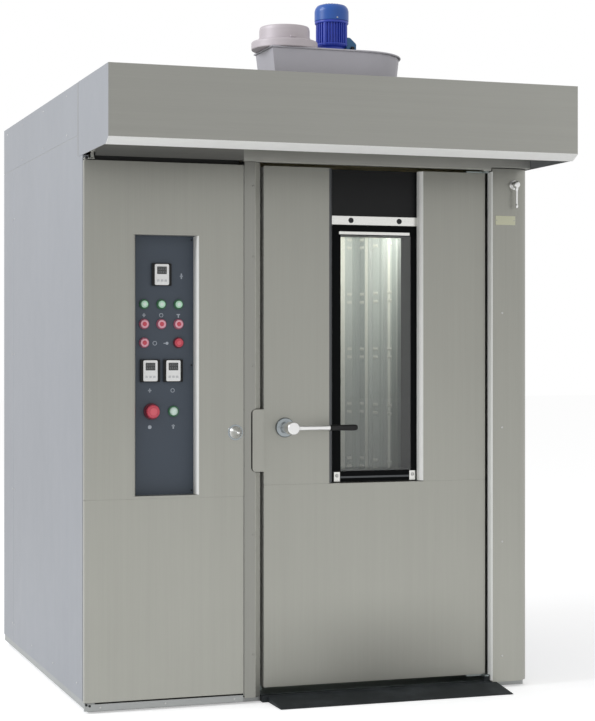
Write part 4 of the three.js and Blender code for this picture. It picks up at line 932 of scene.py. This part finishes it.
# ---------- chamber ----------
skins("liner", 0.7, "chamber_front_frame", "air_duct_panels")
for slot in nodes["chamber_liner"].material_slots:
    slot.material = M["liner"]
skins("wool", 2.0, "insulation_jacket")
skins("bright", 1.2, "rack_hook")
skins("iron", 2.0, "rack_drive")
skins("iron", 1.5, "circulation_motor")
skins("zinc", 0.8, "circulation_impeller")
skins("iron", 1.0, "heater_bank")
skins("iron", 0.8, "steam_generator")

CHAMBER_RIGHT = 1680
REAR_CREST, RIGHT_CREST = 1505.5, 1621.5
CREST_STEP = 170
LEVELS = [782 + 251 * k for k in range(-3, 5)]
STRAP_Z = [(level + foot, level + foot + 13) for level in LEVELS for foot in (12, -25)]
SEAM_Z = (30, 1915)
# Strips on the duct crests: the pale ones are painted highlights, the dull ones painted shade bands.
highlight_strips, shade_strips, straps = Shape(), Shape(), Shape()
rivets, side_rivets = [], []


def on_rear(shape, x, z, proud):
    shape.box(x, (REAR_CREST - proud, REAR_CREST + 0.4), z, 0.4, 1)


def on_right(shape, y, z, proud):
    shape.box((RIGHT_CREST - proud, RIGHT_CREST + 0.4), y, z, 0.4, 1)


for left in (625 + CREST_STEP * i for i in range(6)):
    on_rear(highlight_strips, (left + 53, left + 73), SEAM_Z, 1.2)
    on_rear(shade_strips, (left + 110, left + 124), SEAM_Z, 0.8)
    for z in STRAP_Z:
        on_rear(straps, (left + 84, left + 106), z, 1.8)
    for level in LEVELS:
        rivets += grid((left + 16, left + 40), REAR_CREST - 0.2, (level - 18, level + 18))
for y in ((1406, 1438), (1134, 1158), (896, 920), (590, 614)):
    on_right(highlight_strips, y, SEAM_Z, 1.2)
for y in ((1446, 1512), (1234, 1262), (1066, 1112), (942, 1000), (724, 752), (624, 660)):
    on_right(shade_strips, y, SEAM_Z, 0.8)
for front in (1388 - CREST_STEP * i for i in range(6)):
    for z in STRAP_Z:
        on_right(straps, (front + 64, front + 118), z, 1.8)
    for level in LEVELS:
        side_rivets += grid(RIGHT_CREST - 1.6, (front + 78, front + 104), (level - 18, level + 18))
shade_strips.box((1598, RIGHT_CREST), (1503, REAR_CREST), SEAM_Z, 0.4, 1)
highlight_strips.done("duct_pale_strips", "duct_painted_highlight")
shade_strips.done("duct_dull_strips", "duct_painted_shade")
straps.done("duct_straps", "rivet")
heads("duct_rivets", rivets, "front", 6.0, 3.0, "rivet", kind=RIVET)
heads("side_duct_rivets", side_rivets, "left", 5.0, 3.0, "rivet", kind=RIVET)

LAMP_Y, LAMP_Z = 300.3, 1700
Shape().turned("left", (CHAMBER_RIGHT - 0.3, LAMP_Y, LAMP_Z), soft([
    (0, -8), (46, -8), (46, 0), (58, 0), (58, 5), (55, 7.7), (47, 7.7), (46, 10), (41, 10), (41, 8), (0, 8),
], 1, 3), 48).done("lamp_frame", "bright", node="chamber_lamp")
Shape().turned("left", (CHAMBER_RIGHT - 8.3, LAMP_Y, LAMP_Z), soft([
    (0, 0), (40.6, 0), (40, 6), (32, 11), (16, 13.4), (0, 14)], 3, 4), 48).done("lamp_lens", "lamp", sharp=60)
heads("lamp_screws", [(CHAMBER_RIGHT - 8, LAMP_Y + 52 * math.cos(a), LAMP_Z + 52 * math.sin(a))
                      for a in (0.8, 2.4, 3.9, 5.5)], "left", 3, 1.4)

# ---------- switchgear ----------
BACK = 344.7
WALL_X = mm("chamber_liner")[0].x - 47
WOOL_FRONT = mm("chamber_front_frame")[1].y + 0.9
LINING_Z = (mm("insulation_jacket")[0].z + 0.5, 2006)
Shape().boxes([
    ((28, WALL_X - 1), (BACK - 1.1, BACK + 0.2), LINING_Z),
    ((WALL_X - 1.5, WALL_X - 0.1), (WOOL_FRONT - 1.1, BACK - 1), LINING_Z),
    ((WALL_X - 1.5, WALL_X + 46), (WOOL_FRONT - 1.2, WOOL_FRONT), LINING_Z),
], 0.3).done("cabinet_lining", "zinc")
heads("cabinet_lining_screws", grid((60, 500), BACK - 1.1, (90, 420, 1850)), "front")
Shape().box((90, 470), (BACK - 3, BACK), (500, 1800), 0.9).done("mounting_plate", "zinc", node="switchgear")

CONTACTOR_Z, BREAKER_Z, TERMINAL_Z = (1620, 1180), 1400, 960
ROW_LEFT = 120
CONTACTOR_STEP, BREAKER_STEP, TERMINAL_STEP = 54, 40, 32
DUCT_Z = (1725, 1510, 1290, 1070, 850)
WIRES = ("wire_black", "wire_blue", "wire_red")
wires = [Shape() for _ in WIRES]
rails, dark_parts, grey_parts, coils = Shape(), Shape(), Shape(), Shape()
screws = []


def device(shape, x, front, rear, z, height, bevel):
    """A block that stands off the plate from its rear to its front, centred on z."""
    shape.box(x, (BACK - front, BACK - rear), (z - height / 2, z + height / 2), bevel)


for z in (CONTACTOR_Z[0], BREAKER_Z, CONTACTOR_Z[1], TERMINAL_Z):
    for front, rear, up, height in ((6, 2.6, 0, 24), (10, 5.6, -14.5, 6), (10, 5.6, 14.5, 6)):
        device(rails, (100, 460), front, rear, z + up, height, 0.6)
rails.done("mounting_rails", "bright")


def bend(points, steps=6):
    """A smooth path through points."""
    path = [Vector(p) for p in points]
    out = []
    for i in range(len(path) - 1):
        a = path[max(i - 1, 0)]
        b, c = path[i], path[i + 1]
        d = path[min(i + 2, len(path) - 1)]
        for k in range(steps):
            t = k / steps
            out.append(0.5 * (2 * b + (c - a) * t + (2 * a - 5 * b + 4 * c - d) * t * t
                              + (3 * b - a - 3 * c + d) * t ** 3))
    out.append(path[-1])
    return out


def wire_pair(kind, x, z, stations, end, ducts=(92, -92)):
    """Wires from a device's upper and lower terminals, past stations of (along, out, up), to the ducts."""
    for way, duct in zip((1, -1), ducts):
        path = [(x + dx, BACK - out, z + way * up) for dx, out, up in stations]
        wires[kind % 3].tube(bend(path + [(x + end, BACK - 36, z + duct)]), 1.6, 8)


for z in CONTACTOR_Z:
    for i in range(6):
        left = ROW_LEFT + i * CONTACTOR_STEP
        device(dark_parts, (left, left + 44), 64, 8, z, 80, 2.0)
        device(dark_parts, (left + 5, left + 39), 85, 62, z, 48, 2.0)
        device(grey_parts, (left + 11, left + 33), 87.5, 84, z, 18, 1.0)
        for k in range(3):
            x = left + 9 + 13 * k
            screws += grid(x, BACK - 64, (z - 32, z + 32))
            wire_pair(i + k, x, z, ((0, 64, 32), (0, 78, 46), (2, 60, 62)), 3, (86, -91))
for i in range(8):
    left = ROW_LEFT + i * BREAKER_STEP
    device(grey_parts, (left, left + 34), 48, 8, BREAKER_Z, 86, 1.5)
    device(grey_parts, (left + 2, left + 32), 60, 46, BREAKER_Z, 44, 1.5)
    device(dark_parts, (left + 9, left + 25), 68, 58, BREAKER_Z + 4, 16, 1.5)
    screws += grid(left + 17, BACK - 48, (BREAKER_Z - 32, BREAKER_Z + 32))
    wire_pair(i, left + 17, BREAKER_Z, ((0, 48, 32), (0, 60, 48), (2, 50, 64)), 2)
for i in range(10):
    left = ROW_LEFT + i * TERMINAL_STEP
    device(dark_parts if i % 3 == 2 else grey_parts, (left, left + 26), 45, 8, TERMINAL_Z, 50, 1.5)
    screws += grid(left + 13, BACK - 45, (TERMINAL_Z - 14, TERMINAL_Z + 14))
    wire_pair(i, left + 13, TERMINAL_Z, ((0, 45, 14), (0, 56, 32), (2, 44, 58)), 2)
device(dark_parts, (180, 380), 16, 2.6, 690, 180, 1.5)
device(dark_parts, (200, 360), 78, 15, 690, 160, 2.5)
dark_parts.done("contactors", "grip")
grey_parts.done("breakers", "grey")
heads("terminal_screws", screws, "front", 3.4, 1.4)
for x in (236, 324):
    coils.turned("up", (x, BACK - 48, 622), soft([
        (0, 0), (36, 0), (38, 4), (38, 132), (36, 136), (0, 136)], 2, 3))
coils.done("transformer_coils", "copper")

trunking, slots = Shape(), Shape()
for z in DUCT_Z:
    device(trunking, (96, 464), 38, 2.8, z, 38, 1.2)
    for left in (ROW_LEFT + i * 15 for i in range(22)):
        slots.box((left, left + 5), (BACK - 38.4, BACK - 37.8), (z - 15, z + 15), 0.15, 1)
for x in ((94, 112), (450, 468)):
    trunking.box(x, (BACK - 38, BACK - 2.8), (560, 1780), 1.2)
trunking.done("wire_trunking", "grey")
slots.done("trunking_slots", "grip")
for name, shape in zip(WIRES, wires):
    shape.done(name, name, sharp=60)

# ---------- surroundings ----------
FLOOR_CORNERS = [(x, y, -0.001) for x, y in ((-40, -40), (40, -40), (40, 40), (-40, 40))]
pale = bpy.data.materials.new("pale_floor")
tree = empty_tree(pale)
matt = add_node(tree, "BsdfDiffuse", {"Color": (0.86, 0.86, 0.86, 1)}).outputs[0]
shine = add_node(tree, "Emission", {"Color": (1, 1, 1, 1), "Strength": 0.42}).outputs[0]
both = add_node(tree, "AddShader", {0: matt, 1: shine}).outputs[0]
pick = add_node(tree, "MixShader", {0: seen_directly(tree), 1: matt, 2: both}).outputs[0]
add_node(tree, "OutputMaterial", {0: pick})
data = bpy.data.meshes.new("floor")
data.from_pydata(FLOOR_CORNERS, [], [(0, 1, 2, 3)])
data.materials.append(pale)
floor = bpy.data.objects.new("floor", data)
scene.collection.objects.link(floor)

scene.world = bpy.data.worlds.new("room")
tree = empty_tree(scene.world)
strength = calc(tree, "MULTIPLY_ADD", seen_directly(tree), 0.35, 0.65)
room = add_node(tree, "Background", {"Color": (1, 1, 1, 1), "Strength": strength})
add_node(tree, "OutputWorld", {0: room.outputs[0]})


def area_light(name, place, target, size, power, colour):
    data = bpy.data.lights.new(name, "AREA")
    data.shape = "RECTANGLE"
    data.size, data.size_y = size
    data.energy = power
    data.color = colour
    light = bpy.data.objects.new(name, data)
    light.location = place
    light.rotation_euler = (Vector(target) - Vector(place)).to_track_quat("-Z", "Y").to_euler()
    scene.collection.objects.link(light)
    return light


area_light("key", (-7.0, -0.6, 5.5), (-0.5, 0.2, 1.0), (3, 3), 330, (0.93, 0.96, 1.0))
glow = area_light("chamber_glow", P(1290, 1120, 1933), P(1450, 1505, 1520), (0.6, 0.4), 46, (1.0, 0.905, 0.835))
for ray in ("visible_camera", "visible_glossy", "visible_transmission"):
    setattr(glow, ray, False)

camera_data = bpy.data.cameras.new("camera")
camera_data.lens = 91.17
camera_data.sensor_width = 36
camera_data.shift_y = -0.0146
camera = bpy.data.objects.new("camera", camera_data)
camera.location = (-2.2602, -7.039, 1.2976)
camera.rotation_euler = (math.radians(90), 0, math.radians(-18.84))
scene.collection.objects.link(camera)
scene.camera = camera
scene.view_settings.view_transform = "Standard"
